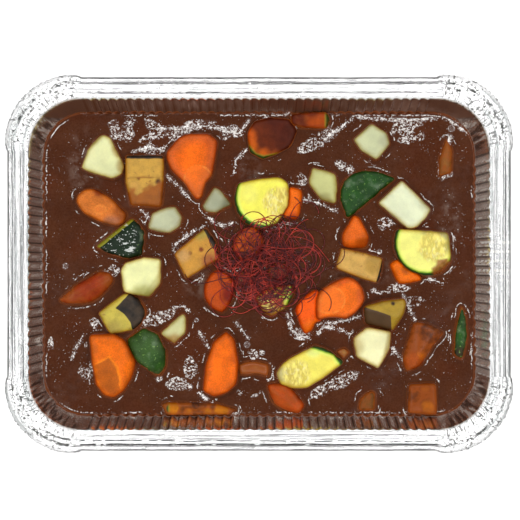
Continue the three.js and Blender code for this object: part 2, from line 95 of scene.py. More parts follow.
# %% Node helpers
def add(tree, kind, inputs=None, **settings):
    """A shader node with its settings; an input is a value or the socket that feeds it."""
    made = tree.nodes.new("ShaderNode" + kind)
    for name, value in settings.items():
        setattr(made, name, value)
    for key, value in (inputs or {}).items():
        feed(tree, made.inputs[key], value)
    return made


def feed(tree, socket, value):
    """Links a socket to another one, or sets its plain value."""
    if isinstance(value, bpy.types.NodeSocket):
        tree.links.new(value, socket)
    else:
        socket.default_value = value


def calc(tree, operation, *values, clamp=False):
    made = add(tree, "Math", dict(enumerate(values)), operation=operation)
    made.use_clamp = clamp
    return made.outputs[0]


def spread(tree, value, low, high, to_low=0.0, to_high=1.0):
    """A smooth step from to_low to to_high as the value goes from low to high."""
    inputs = {"Value": value, "From Min": low, "From Max": high, "To Min": to_low, "To Max": to_high}
    return add(tree, "MapRange", inputs, interpolation_type="SMOOTHSTEP").outputs[0]


def blend(tree, factor, first, second, mode="MIX"):
    inputs = {"Factor": factor, 6: first, 7: second}
    return add(tree, "Mix", inputs, data_type="RGBA", blend_type=mode).outputs[2]


def grain(tree, size, detail=2.0, rough=0.5, vector=None):
    """A noise whose features are about that many millimetres across.

    Inside a node group size is the socket that gives the noise its scale instead."""
    inputs = {
        "Vector": vector or add(tree, "TexCoord").outputs["Object"],
        "Scale": size if isinstance(size, bpy.types.NodeSocket) else 1 / (size * MM),
        "Detail": detail,
        "Roughness": rough,
    }
    return add(tree, "TexNoise", inputs).outputs["Fac"]


def painted(tree, name):
    """What the mesh itself says at each point, under that name."""
    return add(tree, "Attribute", attribute_name=name).outputs["Fac"]


def stretched(tree, vector, scale, turn=0.0, shift=0.0):
    """Coordinates at which a noise comes out drawn along the axis with the small scale."""
    inputs = {
        "Vector": vector,
        "Location": (shift, shift, 0),
        "Rotation": (0, 0, turn),
        "Scale": scale,
    }
    return add(tree, "Mapping", inputs).outputs[0]


def near(tree, value, half_width):
    """1 where the value is within that much of zero."""
    return spread(tree, calc(tree, "ABSOLUTE", value), 0.5 * half_width, half_width, 1.0, 0.0)


def joined(tree, operation, first, *others):
    total = first
    for value in others:
        total = calc(tree, operation, total, value)
    return total


def product(tree, *values):
    return joined(tree, "MULTIPLY", *values)


def largest(tree, *values):
    return joined(tree, "MAXIMUM", *values)


def rgb(red, green, blue):
    """A shader colour from the 0 to 255 numbers that a colour chart gives."""
    def linear(part):
        part /= 255
        return part / 12.92 if part <= 0.04045 else ((part + 0.055) / 1.055) ** 2.4

    return (linear(red), linear(green), linear(blue), 1.0)


def new_material(name, **sockets):
    """A Principled material, its tree, and its shader node with plain values set."""
    material = bpy.data.materials.new(name)
    material.use_nodes = True
    shader = material.node_tree.nodes["Principled BSDF"]
    for key, value in sockets.items():
        shader.inputs[key.replace("_", " ")].default_value = value
    return material, material.node_tree, shader


# %% Mesh helpers
def in_scene(name, data):
    """A new object of that name in the scene."""
    made = bpy.data.objects.new(name, data)
    scene.collection.objects.link(made)
    return made


def made_of(bm, name):
    """A new object from a bmesh, which is then let go."""
    mesh = bpy.data.meshes.new(name)
    bm.to_mesh(mesh)
    bm.free()
    return in_scene(name, mesh)


def keep(bm, name, values):
    """Keeps one value per point on a bmesh, for its material to read."""
    layer = bm.verts.layers.float.new(name)
    for v, value in zip(bm.verts, values):
        v[layer] = value


def evaluated_mesh(made):
    """The mesh that an object has once its modifiers or its curve are worked out."""
    bpy.context.view_layer.update()
    graph = bpy.context.evaluated_depsgraph_get()
    return bpy.data.meshes.new_from_object(made.evaluated_get(graph))


# %% Floor
FLOOR_SIZE = 6.0

bm = bmesh.new()
bmesh.ops.create_grid(bm, x_segments=1, y_segments=1, size=FLOOR_SIZE / 2)
floor = made_of(bm, "floor")
floor_white, tree, shader = new_material("floor_white", Roughness=0.8, Emission_Strength=0.55)
seen = add(tree, "LightPath").outputs["Is Camera Ray"]
tint = blend(tree, seen, (0.85, 0.85, 0.85, 1), (0.9, 0.9, 0.9, 1))
tree.links.new(tint, shader.inputs["Base Color"])
glow = blend(tree, seen, (0, 0, 0, 1), (1, 1, 1, 1))
tree.links.new(glow, shader.inputs["Emission Color"])
floor.data.materials.append(floor_white)
floor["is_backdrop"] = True
print("floor, m:", FLOOR_SIZE, "square")

# %% Sky and soft boxes
# the sky's brightness from the horizon, at 0.5, to the zenith, at 1
SKY = ((0.0, 0.08), (0.5, 0.15), (0.79, 0.3), (0.84, 1.5), (0.96, 1.5), (0.978, 0.04), (1.0, 0.04))
SOFT_BOX = {"count": 8, "side": 0.24, "distance": 1.2, "off_zenith": (27, 38), "watts": 1.0}

world = bpy.data.worlds.new("studio")
world.use_nodes = True
scene.world = world
tree = world.node_tree
direction = add(tree, "TexCoord").outputs["Generated"]
height = add(tree, "SeparateXYZ", {0: direction}).outputs["Z"]
sky = add(tree, "ValToRGB", {0: height})
sky.color_ramp.elements.remove(sky.color_ramp.elements[1])
for place, bright in SKY:
    stop = sky.color_ramp.elements.new(place)
    stop.color = (bright, bright, bright, 1)
sky.color_ramp.elements.remove(sky.color_ramp.elements[0])
seen = add(tree, "LightPath").outputs["Is Camera Ray"]
shown = blend(tree, seen, sky.outputs[0], (1, 1, 1, 1))
background = tree.nodes["Background"]
tree.links.new(shown, background.inputs["Color"])
background.inputs["Strength"].default_value = 1.0

for number in range(SOFT_BOX["count"]):
    turn = 2 * math.pi * (number + 0.5) / SOFT_BOX["count"]
    tip = math.radians(SOFT_BOX["off_zenith"][number % 2])
    lamp = bpy.data.lights.new(f"soft_box_{number + 1}", "AREA")
    lamp.energy = SOFT_BOX["watts"]
    lamp.size = SOFT_BOX["side"]
    lamp.color = (1.0, 0.985, 0.965)
    light = in_scene(lamp.name, lamp)
    aim = Vector((math.sin(tip) * math.cos(turn), math.sin(tip) * math.sin(turn), math.cos(tip)))
    light.location = aim * SOFT_BOX["distance"]
    light.rotation_euler = aim.to_track_quat("Z", "Y").to_euler()
print("soft boxes:", SOFT_BOX["count"])

# %% [markdown]
# ## The dish outline
# Tray and sauce share one outline, a rounded rectangle that is stepped in as it goes down the
# sloping wall. It is worked out once, for any inset, as a function, and both are bent to it.

# %% The outline as numbers
TRAY_LOW, TRAY_HIGH = (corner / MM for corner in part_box("foil_tray"))
WALL_TOP = 49.2
FOIL_FLOOR = 0.8  # height of the base that the wall's slope is reckoned from
BASE_INSET = 20.5
CORNER_RADIUS = 33.0
CORNER_SHRINK = 0.7  # radius lost for each millimetre stepped in
HALF_LENGTH = 145.3
HALF_WIDTH = 104.3
FLUTES_LONG = 40
FLUTES_SHORT = 24
FLUTE_DEPTH = 1.15
FLUTE_FADE = 1.2  # flutes that fade out next to a corner
WALL_RUN = BASE_INSET / (WALL_TOP - FOIL_FLOOR)  # inset gained for each millimetre down
print("tray box, mm:", [round(c, 1) for c in (*TRAY_LOW, *TRAY_HIGH)])


def corner_radius(inset):
    return CORNER_RADIUS - np.where(inset > 0, CORNER_SHRINK, 1.0) * inset


def wall_inset(height):
    return WALL_RUN * (WALL_TOP - height)


def lobe(share):
    """A flute across: 0 at the sharp inner ridges, 1 at the middle of the outward lobe."""
    return np.sqrt(np.sin(np.pi * share) ** 2 + 0.015) - 0.12


# %% Stations round the outline
# for each station: which side or corner it is on, and how far along that it lies
PER_FLUTE = 5
CORNER_STEPS = 76
quarter, part, in_corner = [], [], []
for side in range(4):
    flutes = FLUTES_SHORT if side % 2 == 0 else FLUTES_LONG
    for count, corner in ((flutes * PER_FLUTE, 0), (CORNER_STEPS, 1)):
        quarter += [side] * count
        part += [i / count for i in range(count)]
        in_corner += [corner] * count
quarter, part, in_corner = np.array(quarter), np.array(part), np.array(in_corner)
turn = quarter * np.pi / 2
angle = turn + in_corner * part * np.pi / 2
out_x, out_y = np.cos(angle), np.sin(angle)
centre_sign_x = np.where((quarter == 0) | (quarter == 3), 1, -1)
centre_sign_y = np.where(quarter < 2, 1, -1)
flute_count = np.where(quarter % 2 == 0, FLUTES_SHORT, FLUTES_LONG)
gather = np.where(in_corner == 1, np.sqrt(np.sin(np.pi * np.clip(part, 0, 1)).clip(0)), 0)
print("stations round the tray:", len(quarter))


def ring(inset):
    """The outline at that inset: x and y of every station, in millimetres."""
    radius = corner_radius(inset)
    straight_x = HALF_LENGTH - inset - radius
    straight_y = HALF_WIDTH - inset - radius
    length = np.where(quarter % 2 == 0, 2 * straight_y, 2 * straight_x)
    back = np.where(in_corner == 1, 0, length * (1 - part))
    x = centre_sign_x * straight_x + radius * out_x + back * np.sin(turn)
    y = centre_sign_y * straight_y + radius * out_y - back * np.cos(turn)
    return x, y


# %% [markdown]
# ## The foil tray
# A foil tray is pressed from one thin sheet. Its walls stand in rounded flutes, its corners take
# up the spare foil in fine slanted pleats, and its edge is rolled into a bead. It could be spun
# or swept, but the outline changes with height, so a flat grid is bent instead: one direction
# goes round the outline, the other follows the section from the middle of the base up the wall,
# across the rim and round the bead. Solidify then gives it the thickness of foil.

# %% The tray's section
# each point: inset from the wall's top edge (minus is outwards), height, share of the flutes,
# share of the pleats, share of the corner bulge
SECTION = (
    (96.0, 1.0, 0, 0, 0), (60.0, 1.0, 0, 0, 0), (34.0, 1.0, 0, 0, 0), (33.0, 0.95, 0, 0, 0),
    (32.0, 0.35, 0, 0, 0), (31.0, 0.28, 0, 0, 0), (25.0, 0.28, 0, 0, 0),
    (22.6, 0.28, 0.1, 0, 0), (21.4, 0.45, 0.5, 0.2, 0), (20.6, 1.1, 0.9, 0.5, 0),
)
WALL_STEPS = 15
WALL_FROM, WALL_TO = 2.6, 48.4  # the heights between which the wall is straight
LIP = (
    (-0.2, 49.1, 0.9, 0.9, 0), (-0.6, 49.4, 0.45, 0.7, 0), (-1.1, 49.52, 0.1, 0.4, 0.05),
    (-2.3, 49.36, 0, 0.2, 0.1), (-3.6, 49.14, 0, 0.2, 0.2), (-3.95, 48.9, 0, 0.3, 0.2),
    (-4.3, 48.7, 0, 0.3, 0.25), (-4.7, 49.05, 0, 0.3, 0.25), (-5.0, 49.2, 0, 0.3, 0.3),
    (-6.2, 49.36, 0, 0.4, 0.4), (-7.8, 49.16, 0, 0.5, 0.5), (-9.1, 48.98, 0, 0.6, 0.6),
    (-9.45, 48.75, 0, 0.7, 0.6), (-9.8, 48.45, 0, 0.7, 0.65), (-10.15, 48.95, 0, 0.7, 0.65),
    (-10.6, 49.5, 0, 0.8, 0.7), (-11.3, 49.8, 0, 0.9, 0.75), (-12.0, 49.88, 0, 1, 0.8),
    (-12.6, 49.72, 0, 1, 0.85), (-13.2, 49.35, 0, 1, 0.9), (-13.7, 48.8, 0, 1, 0.95),
    (-13.9, 48.1, 0, 0.9, 1), (-13.6, 47.4, 0, 0.8, 1), (-12.9, 47.0, 0, 0.7, 0.95),
    (-12.1, 47.1, 0, 0.6, 0.9), (-11.7, 47.7, 0, 0.5, 0.85), (-11.8, 48.4, 0, 0.4, 0.85),
)
wall = []
for step in range(WALL_STEPS):
    z = WALL_FROM + (WALL_TO - WALL_FROM) * step / (WALL_STEPS - 1)
    wall.append((wall_inset(z), z, 1, 1, 0))
section = np.array([*SECTION, *wall, *LIP])
print("points across the sheet:", len(section))

# %% The tray's sheet, point by point
PLEAT_PITCH = 2.1
PLEAT_SLANT = 0.35
PLEAT_DEPTH = 0.27
PLEATS_END = 49  # height above which the corner is crinkled instead
CORNER_BULGE = 3.2
CRINKLE = 0.26
CRINKLE_LIFT = 0.16
RIM_HEIGHT = 47  # what is higher than this and outside the wall counts as rim
RIM_INSET = -3  # where its crinkled part begins
FOIL_THICKNESS = 0.25
HIGHEST = 49.95
CORNER_FLAT = (-3.5, -10.8)  # the rim's grooves between these insets run out in the corners
CORNER_LEVEL = (49.4, 0.8)  # to this height, by this share
CORNER_BEAD = (49.7, 0.9)  # the bead is crushed flat there
CURL_ROWS = 5  # the last rows are the underside of the bead
FLAT_BASE = 45.0  # inset past which the rings shrink to the middle of the base

columns, rows = len(quarter), len(section)
inwards = section[:, 0]
across = np.concatenate([[0], np.cumsum(np.hypot(np.diff(inwards), np.diff(section[:, 1])))])
share = (part * flute_count) % 1
to_corner = np.minimum(part, 1 - part) * flute_count
fade = np.where(in_corner == 1, 0, np.minimum(1, to_corner / FLUTE_FADE))
arc_mm = part * np.pi / 2 * CORNER_RADIUS
wobble = np.random.default_rng(11).normal(size=(columns, rows))


def pleated(height, closer, shift):
    """Waves round a corner, slanted as they go up."""
    return np.sin(2 * np.pi * (arc_mm * closer + PLEAT_SLANT * height) / PLEAT_PITCH + shift)


spots = np.zeros((columns + 1, rows, 3))
for r, (inset, z, flute, pleat, bulge) in enumerate(section):
    x, y = ring(min(inset, FLAT_BASE))
    shrink = max(0, inset - FLAT_BASE) / (section[0, 0] - FLAT_BASE + 0.01)
    x, y = x * (1 - shrink), y * (1 - shrink)
    pleats = pleated(z, 1, 0) + 0.6 * pleated(z, 1.71, 1.3)  # and a finer set among them
    push = FLUTE_DEPTH * (lobe(share) - 0.5) * flute * fade
    push += PLEAT_DEPTH * pleats * pleat * gather * (z < PLEATS_END)
    crinkle = gather * pleat * (z >= RIM_HEIGHT) * (inset < RIM_INSET)
    push += CORNER_BULGE * gather * bulge + CRINKLE * crinkle * wobble[:, r]
    lift = CRINKLE_LIFT * crinkle * (pleats + wobble[:, (r + 7) % rows])
    spots[:-1, r, 0] = x + push * out_x
    spots[:-1, r, 1] = y + push * out_y
    grooved = CORNER_FLAT[0] > inset > CORNER_FLAT[1]
    level = z + gather * grooved * CORNER_LEVEL[1] * (CORNER_LEVEL[0] - z)
    if inset < CORNER_FLAT[1] and z > RIM_HEIGHT + 1 and r < rows - CURL_ROWS:
        level = z + gather * CORNER_BEAD[1] * (CORNER_BEAD[0] - z)
    spots[:-1, r, 2] = np.minimum(level + lift, HIGHEST)
spots[-1] = spots[0]
run = np.concatenate([[0], np.cumsum(np.hypot(*(np.diff(spots[:, -10, :2], axis=0).T)))])
print("round the rim, mm:", round(run[-1]), " over the section, mm:", round(across[-1]))

# %% The tray's sheet as a mesh
bm = bmesh.new()
bmesh.ops.create_grid(bm, x_segments=columns, y_segments=rows - 1, size=1)
grid = np.array([v.co[:2] for v in bm.verts])
column = np.rint((grid[:, 0] + 1) / 2 * columns).astype(int)
row = np.rint((grid[:, 1] + 1) / 2 * (rows - 1)).astype(int)

# what the foil is like at each station: made less metallic, and so painted lighter, on some
# sides as painted light, and with painted glints on the flutes' ridges, stronger on some sides
PAINTED_SIDE_LIGHT = np.array((0.25, 0.0, 0.075, 0.02))  # right, back, left, front
RIDGE_GLINT = np.array((1.0, 0.05, 0.45, 0.4))
RIDGE_SHARE = 0.02  # share of a flute that is its ridge
station = column % columns
on_ridge = (in_corner == 0) & (np.minimum(share, 1 - share) < RIDGE_SHARE)
keep(bm, "gathered", gather[station])
keep(bm, "painted_side_light", np.where(in_corner == 1, 0.03, PAINTED_SIDE_LIGHT[quarter])[station])
keep(bm, "ridge_glint", np.where(on_ridge, RIDGE_GLINT[quarter], 0)[station])
keep(bm, "lobed", np.where(in_corner == 1, 0.6, share)[station])
on_rim = (section[:, 1] > RIM_HEIGHT) & (section[:, 0] < -0.5)
keep(bm, "rim", np.where(on_rim, 1.0, 0.0)[row])
uv = bm.loops.layers.uv.new("foil")
for v, c, r in zip(bm.verts, column, row):
    v.co = spots[c, r]
for face in bm.faces:
    for loop in face.loops:
        i = loop.vert.index
        loop[uv].uv = (run[column[i]] * MM, across[row[i]] * MM)
bmesh.ops.remove_doubles(bm, verts=bm.verts, dist=0.001)
edge = [e for e in bm.edges if e.is_boundary and e.verts[0].co.z < 5]
bmesh.ops.holes_fill(bm, edges=edge)
for face in bm.faces:
    face.smooth = True
bmesh.ops.recalc_face_normals(bm, faces=bm.faces)
middle = min(bm.faces, key=lambda f: f.calc_center_median().length)
if middle.normal.z < 0:
    bmesh.ops.reverse_faces(bm, faces=bm.faces)
bmesh.ops.scale(bm, vec=(MM, MM, MM), verts=bm.verts)
tray = made_of(bm, "pressed_foil_tray")
thicken = tray.modifiers.new("foil thickness", "SOLIDIFY")
thicken.thickness = FOIL_THICKNESS * MM
thicken.offset = -1
print("tray faces:", len(tray.data.polygons))

# %% [markdown]
# ## Foil
# Bright foil shows mostly what it mirrors, so part of its look is in its relief: lines rolled
# along the rim, creases pressed down the walls, gathers and dents in the corners. Much of it is
# painted as well: the folds, grooves, gathers and dents are painted dark, as painted shade, and
# the flutes' ridges, pleats and bars are painted light, as painted highlights. They are finer
# than the sheet's faces, so the material draws them at set distances over the section, wandering
# and breaking off by noise that is drawn out along the rim.

# %% Helpers for lines along the rim
WANDER = 1.1  # millimetres that a fold strays to either side
foil, tree, shader = new_material("foil", Metallic=1.0)
along = add(tree, "UVMap", uv_map="foil").outputs[0]
over = add(tree, "SeparateXYZ", {0: along}).outputs["Y"]
where = add(tree, "SeparateXYZ", {0: add(tree, "TexCoord").outputs["Object"]}).outputs
flat_share = painted(tree, "rim")
gathered = painted(tree, "gathered")
lip_from = len(SECTION) + WALL_STEPS


def streaks(scale, size, shift=0.0, detail=3):
    """Noise drawn out along or across the rim."""
    drawn = stretched(tree, along, scale, shift=shift)
    return grain(tree, size, detail=detail, rough=0.55, vector=drawn)


def over_section(inset):
    """How far over the sheet's section, in metres, the lip has come at that inset."""
    lip = slice(lip_from, lip_from + len(LIP) - CURL_ROWS)
    return float(np.interp(-inset, -section[lip, 0], across[lip])) * MM


def rim_line(inset, half_width, missing, shift):
    """A fold along the rim at that inset, which wanders, thins out and breaks off."""
    wander = streaks((1.0, 0.0, 1.0), 32, shift)
    off = calc(tree, "SUBTRACT", over, over_section(inset))
    off = calc(tree, "ADD", off, calc(tree, "MULTIPLY_ADD", wander, 2 * WANDER * MM, -WANDER * MM))
    broken = spread(tree, streaks((1.0, 0.0, 1.0), 7, shift + 0.3), missing - 0.04, missing + 0.04)
    return product(tree, near(tree, off, half_width * MM), broken)


def side(axis, low, high):
    return spread(tree, where[axis], low * MM, high * MM)


# %% Painted shade in folds, grooves, gathers and dents
back, front = side("Y", 100, 104), side("Y", -100, -104)
left, right = side("X", -140, -144), side("X", 140, 144)
straight_side = spread(tree, gathered, 0.0, 0.35, 1.0, 0.0)
in_corners = spread(tree, gathered, 0.25, 0.6)

# each fold: its side, inset, half width, share that is missing, shift of its noise, darkness of its
# painted shade
FOLDS = (
    (back, -13.2, 0.42, 0.36, 0.0, 1.0),
    (back, -9.6, 0.42, 0.36, 0.1, 1.0),
    (back, -4.2, 0.55, 0.52, 0.2, 0.5),
    (front, -7.4, 0.45, 0.47, 0.4, 1.0),
    (front, -9.7, 0.6, 0.38, 0.5, 1.0),
    (front, -13.3, 0.4, 0.5, 0.6, 0.5),
    (right, -10.2, 0.35, 0.42, 0.7, 0.6),
    (right, -13.4, 0.4, 0.42, 0.8, 0.6),
    (left, -5.0, 0.4, 0.45, 0.9, 0.5),
    (left, -12.6, 0.35, 0.5, 1.0, 0.5),
)
lines = [product(tree, on_side, rim_line(*line), depth) for on_side, *line, depth in FOLDS]
folds = product(tree, largest(tree, *lines), straight_side)
granular = spread(tree, grain(tree, 2.0, detail=2), 0.44, 0.54)
groove = product(tree, rim_line(-9.6, 1.3, 0.47, 1.2), in_corners, granular)
second_groove = product(tree, rim_line(-6.6, 0.8, 0.52, 1.3), in_corners, granular)

inner_band = near(tree, calc(tree, "SUBTRACT", over, over_section(-3.0)), 3.2 * MM)
gathers = spread(tree, streaks((1.0, 0.25, 1.0), 1.5, 2.0, detail=1), 0.56, 0.62)
gathers = product(tree, gathers, inner_band, in_corners, 0.8)
dented = calc(tree, "MULTIPLY_ADD", grain(tree, 9, detail=2), 0.25, grain(tree, 1.7, detail=2))
dents = product(tree, spread(tree, dented, 0.705, 0.745), in_corners, flat_share, 0.9)
lone_dents = product(tree, spread(tree, grain(tree, 1.8, detail=1), 0.70, 0.74), flat_share, 0.5)
# painted shade: the foil is painted dark where its folds, grooves, gathers and dents lie
dark = largest(tree, folds, groove, second_groove, gathers, dents, lone_dents)
uneven = spread(tree, grain(tree, 2.5, detail=2), 0.35, 0.65)
fold_shade = blend(tree, uneven, rgb(62, 64, 62), rgb(116, 116, 114))
print("lines drawn along the rim:", len(lines) + 2)

# %% Relief of the foil
above_base = spread(tree, where["Z"], 1.5 * MM, 3.5 * MM)
rolled = spread(tree, streaks((0.03, 1.0, 1.0), 0.9), 0.35, 0.65)
pressed = streaks((1.0, 0.07, 1.0), 1.3)
drawn_lines = add(tree, "Mix", {"Factor": flat_share, 2: pressed, 3: rolled}).outputs[0]
crumple = grain(tree, 1.5, detail=3, rough=0.6)
crinkled = product(tree, gathered, crumple, spread(tree, flat_share, 0.0, 1.0, 0.5, 1.3))
strength = spread(tree, where["Z"], 1.5 * MM, 3.5 * MM, 0.0, 0.16)
relief = calc(tree, "MULTIPLY_ADD", drawn_lines, strength, crinkled)
bump = add(tree, "Bump", {"Height": relief, "Strength": 1.0, "Distance": 0.4 * MM})
tree.links.new(bump.outputs[0], shader.inputs["Normal"])
tree.links.new(spread(tree, flat_share, 0.0, 1.0, 0.24, 0.27), shader.inputs["Roughness"])
print("foil nodes so far:", len(tree.nodes))

# %% Silver of the foil
grey_streaks = spread(tree, streaks((0.02, 1.0, 1.0), 1.6, 3.0), 0.40, 0.64, 0.0, 0.9)
by_sides = spread(tree, calc(tree, "MAXIMUM", left, right), 0.0, 1.0, 0.25, 1.0)
grey_streaks = product(tree, grey_streaks, by_sides, flat_share)
silver = blend(tree, grey_streaks, rgb(246, 246, 247), rgb(178, 182, 182))
# painted shade and a painted reflection of the sauce: the back wall is painted dark brown
back_wall = product(tree, side("Y", 90, 94), side("Z", 48.4, 47.6))
wall_tint_with_back_shade = blend(tree, back_wall, rgb(238, 232, 224), rgb(112, 98, 88))
silver = blend(tree, spread(tree, flat_share, 0.0, 0.5, 1.0, 0.0), silver, wall_tint_with_back_shade)
silver = blend(tree, dark, silver, fold_shade)
# the folds are painted darker still, as painted shade
silver = blend(tree, product(tree, folds, 0.7), silver, rgb(24, 25, 24))
print("foil nodes so far:", len(tree.nodes))

# %% Flutes and pleats that catch the light
# painted highlights on the flutes' sharp ridges and the fine slanted pleats, and painted shade
# between the pleats on the corner walls
SLIT_DARK = 0.7
on_wall = product(tree, spread(tree, flat_share, 0.0, 0.3, 1.0, 0.0), above_base)
ridge = spread(tree, painted(tree, "ridge_glint"), 0.25, 0.75, 0.0, 0.75)
flash = spread(tree, grain(tree, 3.5, detail=2), 0.45, 0.6)
slanted = stretched(tree, along, (1.0, 0.25, 1.0), turn=0.5)
folded = grain(tree, 4.5, detail=3, vector=slanted)
pleat = spread(tree, folded, 0.53, 0.58, 0.0, 0.42)
pleat = product(tree, pleat, in_corners, spread(tree, grain(tree, 9, detail=1), 0.35, 0.6, 0.3, 1.0))
shaded = product(tree, spread(tree, folded, 0.43, 0.49, 0.75, 0.0), in_corners, on_wall)
silver = blend(tree, shaded, silver, rgb(104, 96, 90))
# each flute has a slit of painted shade beside it, and on the right wall a painted highlight bar
# in places
lobed = painted(tree, "lobed")
bar = near(tree, calc(tree, "SUBTRACT", lobed, 0.32), 0.17)
among = near(tree, calc(tree, "SUBTRACT", where["Y"], 5 * MM), 19 * MM)
bar = product(tree, bar, among, side("X", 130, 134))
bar = product(tree, bar, side("Z", 34, 37), spread(tree, grain(tree, 2.5, detail=2), 0.38, 0.5))
slit = product(tree, near(tree, calc(tree, "SUBTRACT", lobed, 0.84), 0.24), SLIT_DARK, on_wall)
silver = blend(tree, slit, silver, rgb(70, 62, 56))
silver = blend(tree, product(tree, bar, 0.8), silver, rgb(250, 248, 244))
catch = largest(tree, product(tree, ridge, flash), pleat, bar)
catch = product(tree, catch, on_wall)
print("foil nodes so far:", len(tree.nodes))

# %% Sauce that clings to the foil, and where the foil is made less metallic, for crushed foil and for painted light
# oily sauce clings to the foil just above the waterline, in a wavy line
lapped = calc(tree, "MULTIPLY_ADD", grain(tree, 5, detail=3), -4.0 * MM, where["Z"])
oily = spread(tree, lapped, 30.0 * MM, 31.8 * MM, 1.0, 0.0)
smears = spread(tree, lapped, 31 * MM, 43 * MM, 0.55, 0.0)
smears = product(tree, smears, spread(tree, streaks((0.4, 0.15, 1.0), 1.6, 5.0), 0.5, 0.7))
# half of the back wall's painted shade also goes into this sauce-coloured mix
clinging_sauce_and_back_shade = largest(tree, oily, product(tree, smears, on_wall), product(tree, back_wall, 0.5))
tree.links.new(blend(tree, clinging_sauce_and_back_shade, silver, rgb(146, 80, 42)), shader.inputs["Base Color"])
# in the corners the bead is crushed, so that its edge scatters the light in places
bead = spread(tree, over, over_section(-11.6), over_section(-12.6))
crushed = spread(tree, grain(tree, 2.2, detail=2), 0.38, 0.56, 0.65, 1.0)
crushed = product(tree, bead, crushed, in_corners, flat_share)
# and so does the turned edge at the top of the wall
turned = near(tree, calc(tree, "SUBTRACT", over, over_section(-0.5)), 1.1 * MM)
turned = product(tree, turned, calc(tree, "MAXIMUM", in_corners, back), 0.8)
# painted light: the foil is made less metallic, so that its near white colour shows, more on some sides
# than on others and where the flutes' ridges, pleats and bars catch the light
plain = largest(tree, clinging_sauce_and_back_shade, painted(tree, "painted_side_light"), product(tree, catch, 0.8), crushed, turned)
tree.links.new(calc(tree, "SUBTRACT", 1.0, plain), shader.inputs["Metallic"])
tray.data.materials.append(foil)

# %% Foil with no sauce and no painted back-wall shade on it, for the outside
clinging_sauce_and_back_shade.node.name = "clinging_sauce_and_back_shade"
back_wall.node.name = "back_wall_shade"
clean_foil = foil.copy()
clean_foil.name = "foil_outside"
outside = clean_foil.node_tree
for name in ("clinging_sauce_and_back_shade", "back_wall_shade"):
    for link in list(outside.nodes[name].outputs[0].links):
        fed = link.to_socket
        outside.links.remove(link)
        fed.default_value = 0.0
tray.data.materials.append(clean_foil)
thicken.material_offset = 1
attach(tray, "root")
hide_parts("foil_tray")
print("foil nodes:", len(tree.nodes))

# %% [markdown]
# ## Sauce on everything
# Whatever stands in the sauce has a film on it, thick at the waterline and thin above: first an
# orange oily tint, then the brown itself. Towards its outline a boiled piece is painted a little
# browner, partly as a stain of sauce and partly as painted shade, and where it slopes it is
# painted darker, as painted shade. As every vegetable needs this, it is one node group: it takes
# the clean colour, how thick the film is, how far in from the outline a point lies, and how
# steep it is there.

# %% The film as a node group
SAUCE_BROWN = rgb(78, 42, 25)
OIL_ORANGE = rgb(150, 74, 24)
EDGE_STAIN_AND_SHADE = (0.70, 0.56, 0.32, 1)
SLOPE_SHADE = (0.80, 0.72, 0.52, 1)


def new_group(name, takes, gives):
    """A node group with those sockets, and the sockets inside it at its start and its end."""
    group = bpy.data.node_groups.new(name, "ShaderNodeTree")
    for in_out, sockets in (("INPUT", takes), ("OUTPUT", gives)):
        for label, kind in sockets.items():
            group.interface.new_socket(label, in_out=in_out, socket_type="NodeSocket" + kind)
    return group, group.nodes.new("NodeGroupInput").outputs, group.nodes.new("NodeGroupOutput").inputs


def use_group(tree, group, **values):
    """Places a group in a material with its own values."""
    node = add(tree, "Group", node_tree=group)
    for name, value in values.items():
        feed(tree, node.inputs[name], value)
    return node.outputs


def film_group():
    takes = {"Colour": "Color", "Film": "Float", "Edge": "Float", "Slope": "Float"}
    gives = {"Colour": "Color", "Roughness": "Float"}
    group, start, end = new_group("sauce_film", takes, gives)
    inwards = calc(group, "MULTIPLY_ADD", grain(group, 4, detail=2), -1.6 * MM, start["Edge"])
    inwards = calc(group, "ADD", inwards, 0.8 * MM)
    # the colour is made browner towards the outline, partly as a stain and partly as painted shade, and
    # darker where the piece slopes, as painted shade
    edge_stain_and_shade = spread(group, inwards, 0.0, 4.0 * MM, 0.95, 0.0)
    tinted = blend(group, edge_stain_and_shade, start["Colour"], EDGE_STAIN_AND_SHADE, mode="MULTIPLY")
    tinted = blend(group, start["Slope"], tinted, SLOPE_SHADE, mode="MULTIPLY")
    uneven = spread(group, grain(group, 3.5, detail=3), 0.2, 0.8, -0.12, 0.12)
    outline = spread(group, inwards, 0.1 * MM, 1.0 * MM, 0.52, 0.0)
    film = calc(group, "MAXIMUM", start["Film"], outline)
    film = calc(group, "ADD", film, uneven)
    oily = spread(group, film, 0.14, 0.5, 0.0, 0.88)
    brown = spread(group, film, 0.5, 0.92)
    tinted = blend(group, oily, tinted, OIL_ORANGE)
    tinted = blend(group, brown, tinted, SAUCE_BROWN)
    feed(group, end["Colour"], tinted)
    feed(group, end["Roughness"], spread(group, film, 0.1, 0.7, 0.42, 0.26))
    return group


FILM = film_group()
print("sockets of the film:", [s.name for s in FILM.interface.items_tree])


def under_film(tree, shader, colour):
    """Lays the sauce film and painted edge and slope shade over a colour, and feeds the shader."""
    marks = {name: painted(tree, name.lower()) for name in ("Film", "Edge", "Slope")}
    coat = use_group(tree, FILM, Colour=colour, **marks)
    tree.links.new(coat["Colour"], shader.inputs["Base Color"])
    tree.links.new(coat["Roughness"], shader.inputs["Roughness"])


# %% [markdown]
# ## Clouds and fine relief
# Cooked flesh is never one even colour, and its surface is never quite smooth. Both could be
# drawn anew for each vegetable, but they differ only in size and strength. So they are two more
# node groups: one makes the piece's own hue a little lighter and darker in soft clouds and in
# fine grain, the other raises a grain of a given size.

# %% Clouds and relief as node groups
SPECK_SIZE = 0.9


